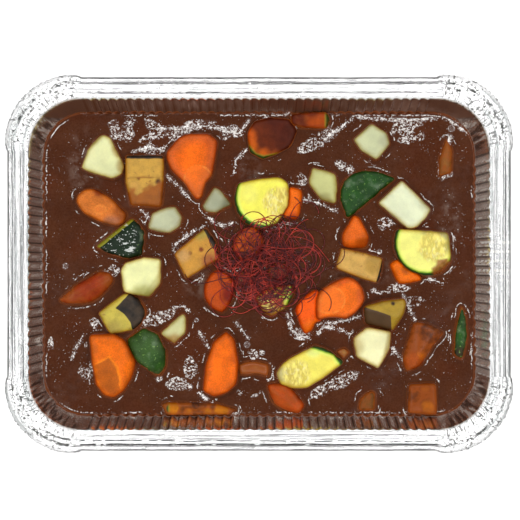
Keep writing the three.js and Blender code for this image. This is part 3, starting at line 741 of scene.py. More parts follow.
def clouds_group():
    takes = {name: "Float" for name in ("Scale", "Darkest", "Lightest", "Fine")}
    group, start, end = new_group("clouded_flesh", {"Colour": "Color", **takes}, {"Colour": "Color"})
    puffs = grain(group, start["Scale"], detail=3)
    cloud = spread(group, puffs, 0.3, 0.7, start["Darkest"], start["Lightest"])
    least = calc(group, "SUBTRACT", 1.0, start["Fine"])
    most = calc(group, "ADD", 1.0, start["Fine"])
    speck = spread(group, grain(group, SPECK_SIZE, detail=2), 0.3, 0.7, least, most)
    value = calc(group, "MULTIPLY", cloud, speck)
    grey = add(group, "CombineColor", {0: value, 1: value, 2: value}).outputs[0]
    feed(group, end["Colour"], blend(group, 1.0, start["Colour"], grey, mode="MULTIPLY"))
    return group


def relief_group():
    takes = {name: "Float" for name in ("Scale", "Strength", "Depth")}
    group, start, end = new_group("fine_relief", takes, {"Normal": "Vector"})
    height = grain(group, start["Scale"], detail=3)
    inputs = {"Height": height, "Strength": start["Strength"], "Distance": start["Depth"]}
    feed(group, end["Normal"], add(group, "Bump", inputs).outputs[0])
    return group


CLOUDS = clouds_group()
RELIEF = relief_group()
print("node groups:", [group.name for group in bpy.data.node_groups])


def clouded(tree, size, darkest, lightest, fine=0.05):
    """The piece's own hue, in clouds about that many millimetres across."""
    own = add(tree, "Attribute", attribute_name="flesh").outputs["Color"]
    values = {"Scale": 1 / (size * MM), "Darkest": darkest, "Lightest": lightest, "Fine": fine}
    return use_group(tree, CLOUDS, Colour=own, **values)["Colour"]


def fine_relief(tree, shader, size, strength, depth):
    """A raised grain; size and depth are in millimetres."""
    values = {"Scale": 1 / (size * MM), "Strength": strength, "Depth": depth * MM}
    tree.links.new(use_group(tree, RELIEF, **values)["Normal"], shader.inputs["Normal"])


# %% [markdown]
# ## Vegetables
# The plain solids have knife-sharp facets. Boiled pieces are rounded and a little uneven. Each
# one is a merged copy of its solid, remeshed to small even faces, smoothed until its edges are
# soft, swollen back to its size and pushed in and out a little by noise. What differs over a
# piece, such as its hue, skin, heart and the sauce on it, is worked out point by point and kept
# on the mesh for the material. Distances are kept rather than masks, because a shader can draw a
# line from a distance that is finer than the faces of the mesh.

# %% Helpers for fields and distances
SAUCE_LEVEL = 31.5


def swell(x, y):
    """The long low swells of the sauce, in millimetres."""
    return 0.45 * np.sin(x / 19 + 1) * np.cos(y / 15) + 0.25 * np.sin(x / 9 - y / 11)


def field(points, size, seed=0.0):
    """Smooth noise, about -1 to 1, at points in millimetres."""
    shift = Vector((seed * 7.3, seed * 3.1, seed * 5.7))
    return np.array([noise.noise(Vector(p) / size + shift) for p in points])


def smooth_step(value, low, high):
    t = np.clip((value - low) / (high - low), 0, 1)
    return t * t * (3 - 2 * t)


def segment_distance(x, y, start, end):
    (ax, ay), (bx, by) = start, end
    length2 = (bx - ax) ** 2 + (by - ay) ** 2
    t = np.clip(((x - ax) * (bx - ax) + (y - ay) * (by - ay)) / length2, 0, 1)
    return np.hypot(x - ax - t * (bx - ax), y - ay - t * (by - ay))


def depth_inside(x, y, corners):
    """How far inside an outline each point lies, in millimetres; outside it is negative."""
    nearest = np.full(len(x), 99.0)
    inside = np.zeros(len(x), bool)
    for start, end in zip(corners, [*corners[1:], corners[0]]):
        nearest = np.minimum(nearest, segment_distance(x, y, start, end))
        (ax, ay), (bx, by) = start, end
        if ay != by:
            crossing = (ay > y) != (by > y)
            inside ^= crossing & (x < (bx - ax) * (y - ay) / (by - ay) + ax)
    return np.where(inside, nearest, -nearest)


# %% Helpers for rounded pieces
VOXEL = 0.75
PLUMP = 0.36


def softened(node, name, voxel=VOXEL, rounds=30):
    """A merged, evenly remeshed and rounded copy of a solid, as a new object in metres."""
    bm = bmesh.new()
    bm.from_mesh(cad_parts[node].data)
    bmesh.ops.remove_doubles(bm, verts=bm.verts, dist=1e-6)
    piece = made_of(bm, name)
    even = piece.modifiers.new("even faces", "REMESH")
    even.mode = "VOXEL"
    even.voxel_size = voxel * MM
    even.use_smooth_shade = True
    soft = piece.modifiers.new("soft edges", "SMOOTH")
    soft.factor = 0.5
    soft.iterations = rounds
    piece.data = evaluated_mesh(piece)
    piece.modifiers.clear()
    return piece


def read_rows(vectors, what):
    values = np.zeros(len(vectors) * 3, np.float32)
    vectors.foreach_get(what, values)
    return values.reshape(-1, 3).astype(float)


def read_points(mesh):
    return read_rows(mesh.vertices, "co")


def read_normals(mesh):
    return read_rows(mesh.vertex_normals, "vector")


def paint(mesh, name, values):
    layer = mesh.attributes.new(name, "FLOAT", "POINT")
    layer.data.foreach_set("value", np.asarray(values, np.float32))


def paint_colour(mesh, name, colours):
    layer = mesh.attributes.new(name, "FLOAT_COLOR", "POINT")
    full = np.column_stack([colours, np.ones(len(colours))])
    layer.data.foreach_set("color", full.astype(np.float32).ravel())


def pushed(piece, points, depth, size, seed, plump):
    """Swells a piece back to its size and makes its surface a little uneven."""
    normals = read_normals(piece.data)
    push = plump + depth * field(points, size, seed)
    points = points + normals * push[:, None]
    piece.data.vertices.foreach_set("co", (points * MM).astype(np.float32).ravel())
    piece.data.update()
    return points


# %% Where the points of a piece lie
class Place:
    """The points of a piece as seen from its middle; u and v are shares of its half box."""

    def __init__(self, node, points, seed):
        low, high = (np.array(corner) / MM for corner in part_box(node))
        self.half = (high - low) / 2
        self.x, self.y = (points - (low + high) / 2).T[:2]
        self.wander = field(points, 3.5, seed + 5)

    def from_spot(self, u, v):
        return np.hypot(self.x - u * self.half[0], self.y - v * self.half[1])

    def past(self, u, v, degrees):
        """How far past a spot each point lies, the way that the angle points."""
        turn = math.radians(degrees)
        along_x = (self.x - u * self.half[0]) * math.cos(turn)
        return along_x + (self.y - v * self.half[1]) * math.sin(turn)

    def inside(self, corners):
        return depth_inside(self.x, self.y, corners)

    def spot(self, u, v, radius, core, wander=1.0):
        """1 inside a round spot and 0 past its radius; core is the share that is full."""
        off = self.from_spot(u, v) + wander * self.wander
        return 1 - smooth_step(off, core * radius, radius)


# %% The clean colour of a piece
SHEEN = 0.02  # light that the wet surface adds to every colour
LEAST = 0.004


def flesh_colour(hue):
    """The colour to paint so that the hue, from 0 to 255, is what is seen in white light."""
    return np.array([max(part - SHEEN, LEAST) for part in rgb(*hue)[:3]])


def painted_flesh(place, inwards, hue, tints_and_shading, areas, margin):
    colour = np.tile(flesh_colour(hue), (len(inwards), 1))
    layers = []
    # spots of another hue, and spots of painted shade and of painted highlight, all painted alike
    for u, v, radius, tint in tints_and_shading:
        layers.append((place.spot(u, v, radius, 0.35, 0.8), tint))
    for corners, tint, soft, grown in areas:
        depth = place.inside(corners) + grown + 1.2 * soft * place.wander
        layers.append((smooth_step(depth, -soft, soft), tint))
    if margin:
        width, tint = margin
        layers.append((0.9 * (1 - smooth_step(inwards + 0.5 * place.wander, 0.2, width)), tint))
    for share, tint in layers:
        colour += share[:, None] * (flesh_colour(tint) - colour)
    return colour


# %% The sauce on a piece
WATERLINE = 1.1  # millimetres that the film takes to thin out above the sauce


def film_on(place, points, seed, film, stains, bare):
    thick = np.full(len(points), float(film))
    for u, v, radius, strength in stains:
        thick = np.maximum(thick, strength * place.spot(u, v, radius, 0.4))
    for u, v, radius, strength in bare:
        thick *= 1 - strength * place.spot(u, v, radius, 0.4)
    height = points[:, 2] - SAUCE_LEVEL - swell(points[:, 0], points[:, 1])
    ragged = 0.6 * field(points, 2.5, seed + 3)
    return np.maximum(thick, 1 - smooth_step(height + ragged, 0.0, WATERLINE))


# %% Skin, rind and heart as distances
NOWHERE = 9.0  # a distance too large to show


def depth_in_skin(place, shapes):
    """How deep in the skin: shapes are outlines, or half planes (u, v, degrees)."""
    depth = np.full(len(place.x), -NOWHERE)
    for shape in shapes:
        half_plane = isinstance(shape[0], float)
        depth = np.maximum(depth, place.past(*shape) if half_plane else place.inside(shape))
    return depth + 0.25 * place.wander


def depth_from_rind(place, rind):
    """How far in from the rind: a circle (u, v, radius), or half planes (u, v, degrees)."""
    depth = np.full(len(place.x), NOWHERE)
    if rind and isinstance(rind[0], tuple):
        for plane in rind:
            depth = np.minimum(depth, -place.past(*plane))
    elif rind:
        u, v, radius = rind
        depth = radius - place.from_spot(u, v)
    return depth


def depth_from_heart(place, heart):
    """How far out from the heart, an ellipse (u, v, radius along x, radius along y)."""
    if not heart:
        return np.full(len(place.x), NOWHERE)
    u, v, across_x, across_y = heart
    off_x, off_y = place.x - u * place.half[0], place.y - v * place.half[1]
    stretch = np.hypot(off_x / across_x, off_y / across_y)
    return (stretch - 1) * (across_x + across_y) / 2 + 0.5 * place.wander


# %% Cook one piece
TOP_ABOVE = 0.4  # millimetres above the sauce from which a piece counts as its top
cooked = []


def cook(node, slot, material, seed, hue, tints_and_shading=(), areas=(), margin=None, film=0.0, stains=(),
         bare=(), skin=(), rind=None, heart=None, seeds=None, clean=0.0, depth=0.25, size=6.0,
         rounds=30, voxel=VOXEL):
    """Rounds a piece, keeps its looks point by point on its mesh, and lays it in the frame.

    Places u, v are shares of the half box, corners and sizes are millimetres from the middle.
    hue: the clean colour. tints_and_shading: round spots (u, v, radius, hue), of another hue,
    of painted shade and of painted highlight. areas: (corners, hue, softness, growth), some of
    them painted shade. margin: width and hue of a duller zone along the outline. film: how thick
    the sauce lies. stains and bare: spots (u, v, radius, strength) with more and with less of
    it. skin, rind and heart: see above. seeds: a spot (u, v, radius). clean: how much nearer
    to the outline the sauce stays. depth and size: how uneven the surface is."""
    piece = softened(node, "cooked_" + node, voxel, rounds)
    points = read_points(piece.data) / MM
    points = pushed(piece, points, depth, size, seed, PLUMP + 0.008 * rounds)
    place = Place(node, points, seed)
    top = [Vector(p[:2]) for p in points if p[2] > SAUCE_LEVEL + TOP_ABOVE]
    outline = [tuple(top[i]) for i in geometry.convex_hull_2d(top)]
    inwards = depth_inside(points[:, 0], points[:, 1], outline)
    seeded = place.spot(*seeds, 0.7) if seeds else np.zeros(len(points))

    mesh = piece.data
    paint_colour(mesh, "flesh", painted_flesh(place, inwards, hue, tints_and_shading, areas, margin))
    paint(mesh, "edge", (inwards + clean) * MM)
    paint(mesh, "slope", smooth_step(1 - read_normals(mesh)[:, 2], 0.05, 0.55))
    paint(mesh, "film", film_on(place, points, seed, film, stains, bare))
    paint(mesh, "skin", depth_in_skin(place, skin))
    paint(mesh, "rind", depth_from_rind(place, rind))
    paint(mesh, "heart", depth_from_heart(place, heart))
    paint(mesh, "seeds", seeded)
    mesh.materials.clear()
    mesh.materials.append(material)
    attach(piece, "root")
    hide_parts(node)
    cooked.append(piece)


def cook_all(table, slot, material, seed, **common):
    for number, (node, looks) in enumerate(table.items()):
        cook(node, slot, material, seed + number, **{**common, **looks})
    print(slot, len(table))


# %% [markdown]
# ## Potato
# Boiled potato is pale and cloudy, and light goes a little way into it, so that its edges glow.
# Subsurface scattering does that. Each dice has its own hue, as some are cream and some
# greenish, and darker, browner spots towards some of its sides, which are painted shade.

# %% Potato flesh
def potato_flesh():
    material, tree, shader = new_material(
        "potato_flesh", Subsurface_Weight=0.15, Subsurface_Scale=1.5 * MM,
        Subsurface_Radius=(1.0, 0.8, 0.45), IOR=1.38,
    )
    under_film(tree, shader, clouded(tree, 13, 0.86, 1.05, fine=0.02))
    fine_relief(tree, shader, 0.9, 0.25, 0.2)
    return material


POTATO = potato_flesh()
POTATOES = {
    "potato_1": {"hue": (236, 238, 180),
                 "tints_and_shading": ((0.95, -0.45, 6, (190, 172, 108)), (0.65, 0.25, 5, (206, 192, 130)),
                           (-0.6, -0.8, 4, (210, 204, 140)))},
    "potato_2": {"hue": (208, 209, 142), "tints_and_shading": ((0.1, -0.95, 8, (165, 158, 98)),)},
    "potato_3": {"hue": (211, 216, 172), "tints_and_shading": ((0.8, 0.0, 7, (190, 192, 155)),)},
    "potato_4": {"hue": (238, 244, 206), "tints_and_shading": ((0.9, 0.0, 8, (212, 214, 178)),)},
    "potato_5": {"hue": (254, 251, 196), "tints_and_shading": ((-0.85, 0.1, 8, (222, 210, 150)),)},
    "potato_6": {"hue": (221, 221, 162), "tints_and_shading": ((0.1, -0.9, 8, (180, 150, 88)),)},
    "potato_7": {"hue": (250, 251, 184), "tints_and_shading": ((0.1, -1.0, 11, (190, 188, 112)),)},
    "potato_8": {"hue": (202, 206, 170), "tints_and_shading": ((0.8, -0.2, 6, (188, 190, 158)),)},
    "potato_9": {"hue": (176, 180, 150), "tints_and_shading": ((0.8, -0.5, 8, (140, 144, 115)),)},
    "potato_10": {"hue": (176, 168, 140), "film": 0.42},
    "potato_11": {"hue": (172, 150, 118), "film": 0.45},
    "potato_12": {"hue": (176, 124, 56), "film": 0.28, "voxel": 0.5, "rounds": 20},
}
cook_all(POTATOES, "potato", POTATO, 0)


# %% [markdown]
# ## Carrot
# A slice of carrot has a paler heart with a faint ring round it, and a duller zone where the
# skin was. The ring is thinner than the faces of the mesh, so it is drawn from the distance to
# the heart. The dull zone is wide and soft, so it is painted with the hue. One wedge shows a
# second cut: its facet is painted a darker orange, as painted shade, inside a lighter rim.

# %% Carrot flesh
def carrot_flesh():
    material, tree, shader = new_material(
        "carrot_flesh", Subsurface_Weight=0.1, Subsurface_Scale=1.0 * MM,
        Subsurface_Radius=(1.0, 0.35, 0.1), IOR=1.38, Specular_IOR_Level=0.2,
    )
    orange = clouded(tree, 7, 0.80, 1.08, fine=0.12)
    heart = painted(tree, "heart")
    within = spread(tree, heart, -1.5, 0.0, 0.22, 0.0)
    orange = blend(tree, within, orange, rgb(255, 138, 60))
    faint = spread(tree, grain(tree, 4, detail=2), 0.35, 0.65, 0.05, 0.42)
    orange = blend(tree, product(tree, near(tree, heart, 0.9), faint), orange, rgb(255, 160, 70))
    under_film(tree, shader, orange)
    fine_relief(tree, shader, 0.8, 0.3, 0.2)
    return material


CARROT = carrot_flesh()
# the facet of carrot_11's second cut, painted darker as painted shade, inside a lighter rim
FACET = (
    (-2.2, 5.2), (-10.8, 0.7), (-9.8, -7.5), (-6, -15.9), (-0.3, -19), (4.8, -15.2), (2.9, -1.1),
)
CARROTS = {
    "carrot_1": {"hue": (254, 117, 41), "heart": (0.25, -0.42, 9, 9.5),
                 "margin": (10, (198, 98, 56)),
                 "tints_and_shading": ((-0.6, -0.75, 9, (214, 100, 44)), (0.75, 0.8, 8, (236, 106, 42)))},
    "carrot_2": {"hue": (247, 118, 42), "tints_and_shading": ((0, -1.0, 7, (205, 88, 28)),)},
    "carrot_3": {"hue": (231, 111, 48), "tints_and_shading": ((0.6, -0.8, 7, (196, 92, 40)),)},
    "carrot_4": {"hue": (244, 120, 27), "tints_and_shading": ((0.0, 0.1, 4, (196, 98, 28)),)},
    "carrot_5": {"hue": (253, 102, 29), "tints_and_shading": ((0.2, -0.7, 8, (247, 116, 31)),)},
    "carrot_6": {"hue": (255, 122, 48), "heart": (-0.5, -0.05, 10, 8.6),
                 "margin": (4.5, (216, 104, 56)),
                 "tints_and_shading": ((0.0, 1.0, 7, (226, 100, 45)), (-0.95, 0.0, 4, (246, 134, 52)),
                           (0.95, 0.1, 7, (230, 108, 52)))},
    "carrot_7": {"hue": (170, 84, 28), "film": 0.6, "bare": ((-0.4, -0.6, 9, 0.75),),
                 "stains": ((0.3, 0.6, 14, 0.74), (0.7, -0.2, 9, 0.76)),
                 "tints_and_shading": ((0.55, 0.75, 4, (120, 92, 56)), (-0.1, -0.3, 4, (196, 104, 36)))},
    "carrot_8": {"hue": (206, 92, 46), "film": 0.3},
    "carrot_9": {"hue": (194, 86, 32), "film": 0.28, "tints_and_shading": ((0.8, 0.3, 7, (150, 66, 32)),)},
    "carrot_10": {"hue": (255, 120, 34), "margin": (6, (204, 98, 44)),
                  "tints_and_shading": ((0.9, 0.2, 6, (228, 104, 32)), (-0.2, 1.0, 8, (226, 108, 34)))},
    "carrot_11": {"hue": (247, 120, 38), "margin": (6, (208, 104, 46)),
                  "areas": ((FACET, (255, 138, 44), 0.7, 1.3), (FACET, (192, 101, 43), 0.5, 0.0)),
                  "tints_and_shading": ((-1.0, 0.6, 7, (214, 108, 48)), (-0.3, -1.0, 7, (204, 104, 48)),
                            (1.0, 0.2, 5, (222, 106, 44)))},
    "carrot_12": {"hue": (158, 66, 14), "film": 0.4, "bare": ((0.1, 0.1, 13, 0.45),),
                  "stains": ((-0.7, -0.2, 9, 0.6), (0.9, 0.4, 7, 0.55))},
    "carrot_13": {"hue": (216, 124, 60), "heart": (-0.06, -0.12, 3.4, 2.6),
                  "tints_and_shading": ((0.8, -0.35, 9, (168, 92, 48)), (-0.1, 1.0, 6, (150, 74, 42)),
                            (0.4, -0.9, 8, (190, 120, 84)))},
    "carrot_14": {"hue": (196, 86, 34), "tints_and_shading": ((0.9, -0.1, 10, (128, 50, 32)),), "film": 0.12},
}
cook_all(CARROTS, "carrot", CARROT, 20, rounds=55, clean=0.5)


# %% [markdown]
# ## Courgette
# A half slice of courgette is yellow, with a glassy middle full of seeds and a skin that goes
# from lime to dark green within a few millimetres. The skin is drawn from the distance to the
# round side of the slice, in three steps. The seeds are the outlines of drawn-out cells.

# %% Courgette flesh
def courgette_flesh():
    material, tree, shader = new_material(
        "courgette_flesh", Subsurface_Weight=0.12, Subsurface_Scale=1.5 * MM,
        Subsurface_Radius=(1.0, 0.9, 0.3), IOR=1.38,
    )
    flesh = clouded(tree, 6, 0.9, 1.04, fine=0.03)
    zone = painted(tree, "seeds")
    where = add(tree, "TexCoord").outputs["Object"]
    drawn = stretched(tree, where, (1.0, 0.4, 1.0), turn=0.7)
    streak = grain(tree, 2.2, detail=4, vector=drawn)
    glassy = blend(tree, spread(tree, streak, 0.35, 0.65), rgb(196, 172, 66), rgb(255, 240, 124))
    flesh = blend(tree, calc(tree, "MULTIPLY", zone, spread(tree, streak, 0.3, 0.5)), flesh, glassy)
    cell = add(tree, "TexVoronoi", {"Vector": drawn, "Scale": 1 / (2.6 * MM)}).outputs["Distance"]
    outline = near(tree, calc(tree, "SUBTRACT", cell, 0.36), 0.18)
    outline = product(tree, outline, zone, spread(tree, grain(tree, 3, detail=2), 0.45, 0.6, 0.0, 0.35))
    flesh = blend(tree, outline, flesh, rgb(255, 250, 196))
    rind = calc(tree, "MULTIPLY_ADD", grain(tree, 3, detail=2), 0.8, painted(tree, "rind"))
    flesh = blend(tree, spread(tree, rind, 2.0, 4.2, 0.8, 0.0), flesh, rgb(232, 250, 112))
    flesh = blend(tree, spread(tree, rind, 1.2, 2.3, 1.0, 0.0), flesh, rgb(146, 196, 42))
    flesh = blend(tree, spread(tree, rind, 0.6, 1.3, 1.0, 0.0), flesh, rgb(42, 84, 28))
    under_film(tree, shader, flesh)
    fine_relief(tree, shader, 1.6, 0.35, 0.3)
    return material


COURGETTE = courgette_flesh()
COURGETTES = {
    "courgette_1": {"hue": (255, 249, 102), "rind": (0.135, 0.25, 18.9), "seeds": (0.6, 0.05, 11),
                    "tints_and_shading": ((0.9, 0.2, 9, (240, 208, 108)), (0, -0.9, 8, (244, 212, 108)),
                              (-0.45, 0.35, 8, (255, 250, 118)))},
    "courgette_2": {"hue": (253, 250, 138), "rind": (0.11, 0.4, 19.6), "seeds": (0.35, 0.25, 11),
                    "tints_and_shading": ((0.8, 0.4, 9, (196, 192, 112)), (0.7, 0.95, 9, (190, 182, 120)),
                              (0.1, 1.0, 5, (206, 202, 124))),
                    "stains": ((0.75, -0.75, 10, 0.62),)},
    "courgette_3": {"hue": (251, 238, 106), "seeds": (-0.4, -0.25, 10),
                    "rind": ((0.43, 0.78, 72.0), (0.72, 0.63, 53.0), (0.825, 0.385, 34.0)),
                    "tints_and_shading": ((-0.5, -0.6, 10, (226, 200, 92)), (0.1, 0.8, 7, (246, 250, 140)),
                              (-0.85, -0.3, 7, (212, 202, 136)))},
    "courgette_4": {"hue": (196, 158, 62), "rind": ((0.72, -0.1, -15.0),), "film": 0.2,
                    "seeds": (-0.4, 0.0, 7), "stains": ((0.2, -0.2, 5, 0.5),),
                    "tints_and_shading": ((0.5, 0.3, 6, (176, 190, 66)), (-0.3, -0.6, 6, (150, 100, 40)))},
}
cook_all(COURGETTES, "courgette", COURGETTE, 40, rounds=45)


# %% [markdown]
# ## Courgette skin
# Pieces that lie skin up are dark green with pale flecks and a dull bloom. One is wet, and fine
# drops of light stand on it. The drops are a clear coat, which is there only where a noise is
# high, so the rest of the skin stays dull, and they are also painted near white, as painted glints.

# %% Courgette skin
def courgette_peel():
    material, tree, shader = new_material(
        "courgette_peel", Specular_IOR_Level=0.2, Coat_Roughness=0.08
    )
    fleck = grain(tree, 1.3, detail=2)
    green = clouded(tree, 7, 0.75, 1.25, fine=0.1)
    glossy = painted(tree, "seeds")
    dull = spread(tree, glossy, 0.0, 0.2, 1.0, 0.0)
    flecks = product(tree, spread(tree, fleck, 0.62, 0.74, 0, 0.7), dull)
    green = blend(tree, flecks, green, rgb(132, 172, 84))
    bloom = product(tree, spread(tree, grain(tree, 6, detail=4), 0.5, 0.75, 0.0, 0.3), dull)
    green = blend(tree, bloom, green, rgb(146, 168, 138))
    green = blend(tree, spread(tree, painted(tree, "skin"), -0.3, 0.3), green, rgb(150, 152, 44))
    where = add(tree, "TexCoord").outputs["Object"]
    drawn = stretched(tree, where, (0.4, 1.2, 1.0), turn=0.3)
    drop_glints = largest(tree, spread(tree, grain(tree, 1.4, detail=1), 0.66, 0.72),
                    spread(tree, grain(tree, 2.4, detail=3, vector=drawn), 0.60, 0.66))
    drop_glints = product(tree, drop_glints, glossy)
    # painted glints: the drops are painted near white
    green = blend(tree, product(tree, drop_glints, 0.85), green, rgb(225, 230, 226))
    under_film(tree, shader, green)
    tree.links.new(drop_glints, shader.inputs["Coat Weight"])
    fine_relief(tree, shader, 1.3, 0.2, 0.2)
    return material


PEEL = courgette_peel()
PEELS = {
    "courgette_skin_1": {"hue": (48, 80, 34), "tints_and_shading": ((0.5, 0.2, 9, (46, 74, 30)),)},
    "courgette_skin_2": {"hue": (50, 84, 24), "tints_and_shading": ((0, -0.8, 7, (62, 58, 28)),)},
    "courgette_skin_3": {"hue": (64, 90, 50), "tints_and_shading": ((0.6, -0.3, 8, (56, 84, 46)),)},
    "courgette_skin_4": {"hue": (34, 54, 26), "skin": ((-0.19, 0.17, 129.0),),
                         "seeds": (0.0, 0.0, 13)},
}
cook_all(PEELS, "courgette_skin", PEEL, 50, depth=0.15)


# %% [markdown]
# ## Aubergine
# Stewed aubergine is ochre, soaked with sauce in veins and patches, and its skin is nearly
# black. Where skin and soaked flesh lie is different on every block, so each has its own
# outlines, given from its middle.

# %% Aubergine flesh
def aubergine_flesh():
    material, tree, shader = new_material(
        "aubergine_flesh", Subsurface_Weight=0.08, Subsurface_Scale=1.0 * MM,
        Specular_IOR_Level=0.25,
    )
    ochre = clouded(tree, 5, 0.86, 1.07, fine=0.05)
    vein = spread(tree, grain(tree, 2.2, detail=3), 0.63, 0.72, 0, 0.5)
    ochre = blend(tree, vein, ochre, rgb(146, 90, 42))
    worn = spread(tree, grain(tree, 5, detail=4), 0.3, 0.72)
    dark = blend(tree, worn, rgb(22, 16, 11), rgb(68, 52, 36))
    dark = blend(tree, product(tree, painted(tree, "seeds"), 0.7), dark, rgb(98, 72, 46))
    flesh = blend(tree, spread(tree, painted(tree, "skin"), -0.3, 0.3), ochre, dark)
    under_film(tree, shader, flesh)
    fine_relief(tree, shader, 1.2, 0.3, 0.3)
    return material


AUBERGINE = aubergine_flesh()
# a thin band across the step on aubergine_1, painted darker as painted shade in the crease
CREASE = ((-11, 2.1), (0, 3.0), (10, 2.4), (10, 1.7), (0, 2.2), (-11, 1.4))
SAUCED = ((-13, -5.5), (-6, -4.5), (-4.5, -8.5), (-1, -6.0), (3, -3.0), (13, 0.5), (13, -18), (-13, -18))
SIDE_SKIN = ((-15.5, 6.0), (3.8, -0.4), (4.7, -11), (-14.2, -8))
CORNER_SKIN = ((5.5, 14), (-4.2, 3.7), (1.1, -0.1), (4.9, -5.2), (7.1, -13), (18, -12), (20, 9))
BACK_SKIN = ((-13, 14.4), (13, 14.4), (13, 18), (-13, 18))
AUBERGINES = {
    "aubergine_1": {"hue": (208, 162, 74), "skin": (BACK_SKIN,),
                    "areas": ((SAUCED, (166, 98, 42), 1.6, 0.0), (CREASE, (160, 112, 56), 0.5, 0.0)),
                    "tints_and_shading": ((0.75, -0.02, 2.4, (100, 66, 38)), (-0.5, -0.2, 5, (206, 158, 78)),
                              (-0.3, 0.1, 1.5, (136, 90, 48)), (0.3, 0.0, 1.5, (140, 90, 48)))},
    "aubergine_2": {"hue": (216, 172, 94), "skin": ((0.9, 0.0, -15.0),),
                    "tints_and_shading": ((0.6, 0.0, 8, (190, 150, 74)), (0.0, 1.0, 6, (190, 150, 80)))},
    "aubergine_3": {"hue": (177, 146, 58), "skin": (SIDE_SKIN,), "seeds": (-0.4, -0.5, 14),
                    "tints_and_shading": ((0.4, 0.7, 2, (60, 44, 28)),)},
    "aubergine_4": {"hue": (170, 110, 52), "film": 0.48},
    "aubergine_5": {"hue": (206, 188, 84), "skin": (CORNER_SKIN,),
                    "tints_and_shading": ((-0.3, -0.7, 7, (180, 162, 78)),)},
    "aubergine_6": {"hue": (212, 155, 70), "skin": ((0.58, 0.48, 27.7),),
                    "tints_and_shading": ((0.6, -0.3, 8, (170, 104, 60)), (0.15, 0.85, 8, (184, 160, 76)),
                              (-0.3, 0.0, 1.6, (150, 92, 44)), (0.2, 0.15, 2, (140, 74, 44)),
                              (-0.6, -0.1, 6, (206, 158, 96)))},
}
cook_all(AUBERGINES, "aubergine", AUBERGINE, 60)


# %% [markdown]
# ## Pumpkin, and what lies under the sauce
# The pumpkin lies deepest, so most of it is seen through brown sauce, and only its corners and
# its green rind stand clear. The film that all pieces have would do, but where it thins from
# brown to nothing it passes through orange. So the sauced parts are tints of brown instead. Two
# pieces that are quite covered are made the same way.

# %% Pumpkin flesh
def pumpkin_flesh(name):
    material, tree, shader = new_material(
        name, Subsurface_Weight=0.05, Subsurface_Scale=1.0 * MM, Specular_IOR_Level=0.1
    )
    orange = clouded(tree, 4, 0.82, 1.12, fine=0.06)
    rind = painted(tree, "rind")
    orange = blend(tree, spread(tree, rind, 0.8, 2.4, 1.0, 0.0), orange, rgb(150, 132, 34))
    orange = blend(tree, spread(tree, rind, 0.2, 1.4, 1.0, 0.0), orange, rgb(52, 76, 28))
    under_film(tree, shader, orange)
    fine_relief(tree, shader, 1.5, 0.3, 0.3)
    return material


PUMPKIN = pumpkin_flesh("pumpkin_flesh")
PUMPKINS = {
    "pumpkin_1": {"hue": (108, 57, 28), "film": 0.05,
                  "rind": ((-0.86, -0.58, -140.0), (-0.62, -0.84, -108.0), (-0.3, -0.93, -80.0)),
                  "tints_and_shading": ((-1.0, 0.1, 8, (208, 98, 44)), (-0.95, -0.5, 8, (208, 102, 38)),
                            (-0.35, -0.95, 8, (200, 98, 34)), (0.15, -0.95, 7, (168, 84, 36)),
                            (0.95, 0.35, 23, (88, 50, 32)), (0.2, 0.95, 11, (90, 50, 31)))},
    "pumpkin_2": {"hue": (172, 80, 20), "film": 0.2, "rind": ((0.88, 0.0, 0.0),),
                  "tints_and_shading": ((-0.8, 0.1, 12, (104, 54, 28)), (0.1, 0.9, 5, (130, 62, 26)))},
    "pumpkin_3": {"hue": (98, 50, 22), "film": 0.5, "stains": ((-0.6, 0.2, 8, 0.68),),
                  "bare": ((0.4, -0.5, 7, 0.6), (0.2, 0.8, 5, 0.5)),
                  "tints_and_shading": ((0.4, -0.5, 7, (170, 96, 34)), (0.2, 0.8, 5, (160, 88, 38)))},
    "pumpkin_4": {"hue": (192, 118, 36), "film": 0.69, "rind": ((-0.86, 0.0, 180.0),),
                  "bare": ((-0.72, 0.2, 6, 0.85), (-0.3, -0.6, 4, 0.5), (0.25, -0.5, 4, 0.6),
                           (0.62, -0.2, 6, 0.9)),
                  "stains": ((-0.1, 0.7, 5, 0.85), (0.9, 0.6, 5, 0.7))},
}
cook_all(PUMPKINS, "pumpkin", PUMPKIN, 70)
SUNK = pumpkin_flesh("sunk_flesh")
SUNK_PIECES = {"sunk_piece_1": {"hue": (146, 98, 56)}, "sunk_piece_2": {"hue": (118, 84, 52)}}
cook_all(SUNK_PIECES, "sunk_piece", SUNK, 80, film=0.3)

# %% [markdown]
# ## The sauce
# The sauce is thick and shiny. It lies in low swells, climbs a little up the wall and up every
# piece, and its skin is creased in patches and along short ridges, where it glitters. A flat grid
# is bent to the dish outline, lifted by those parts of its relief in turn, and closed below. Its
# edge reaches just into the foil so that no gap shows. How far a point lies from the nearest
# ridge, piece and wall is kept on the mesh, so that the material can paint the thin bright
# crests there, as painted glints.

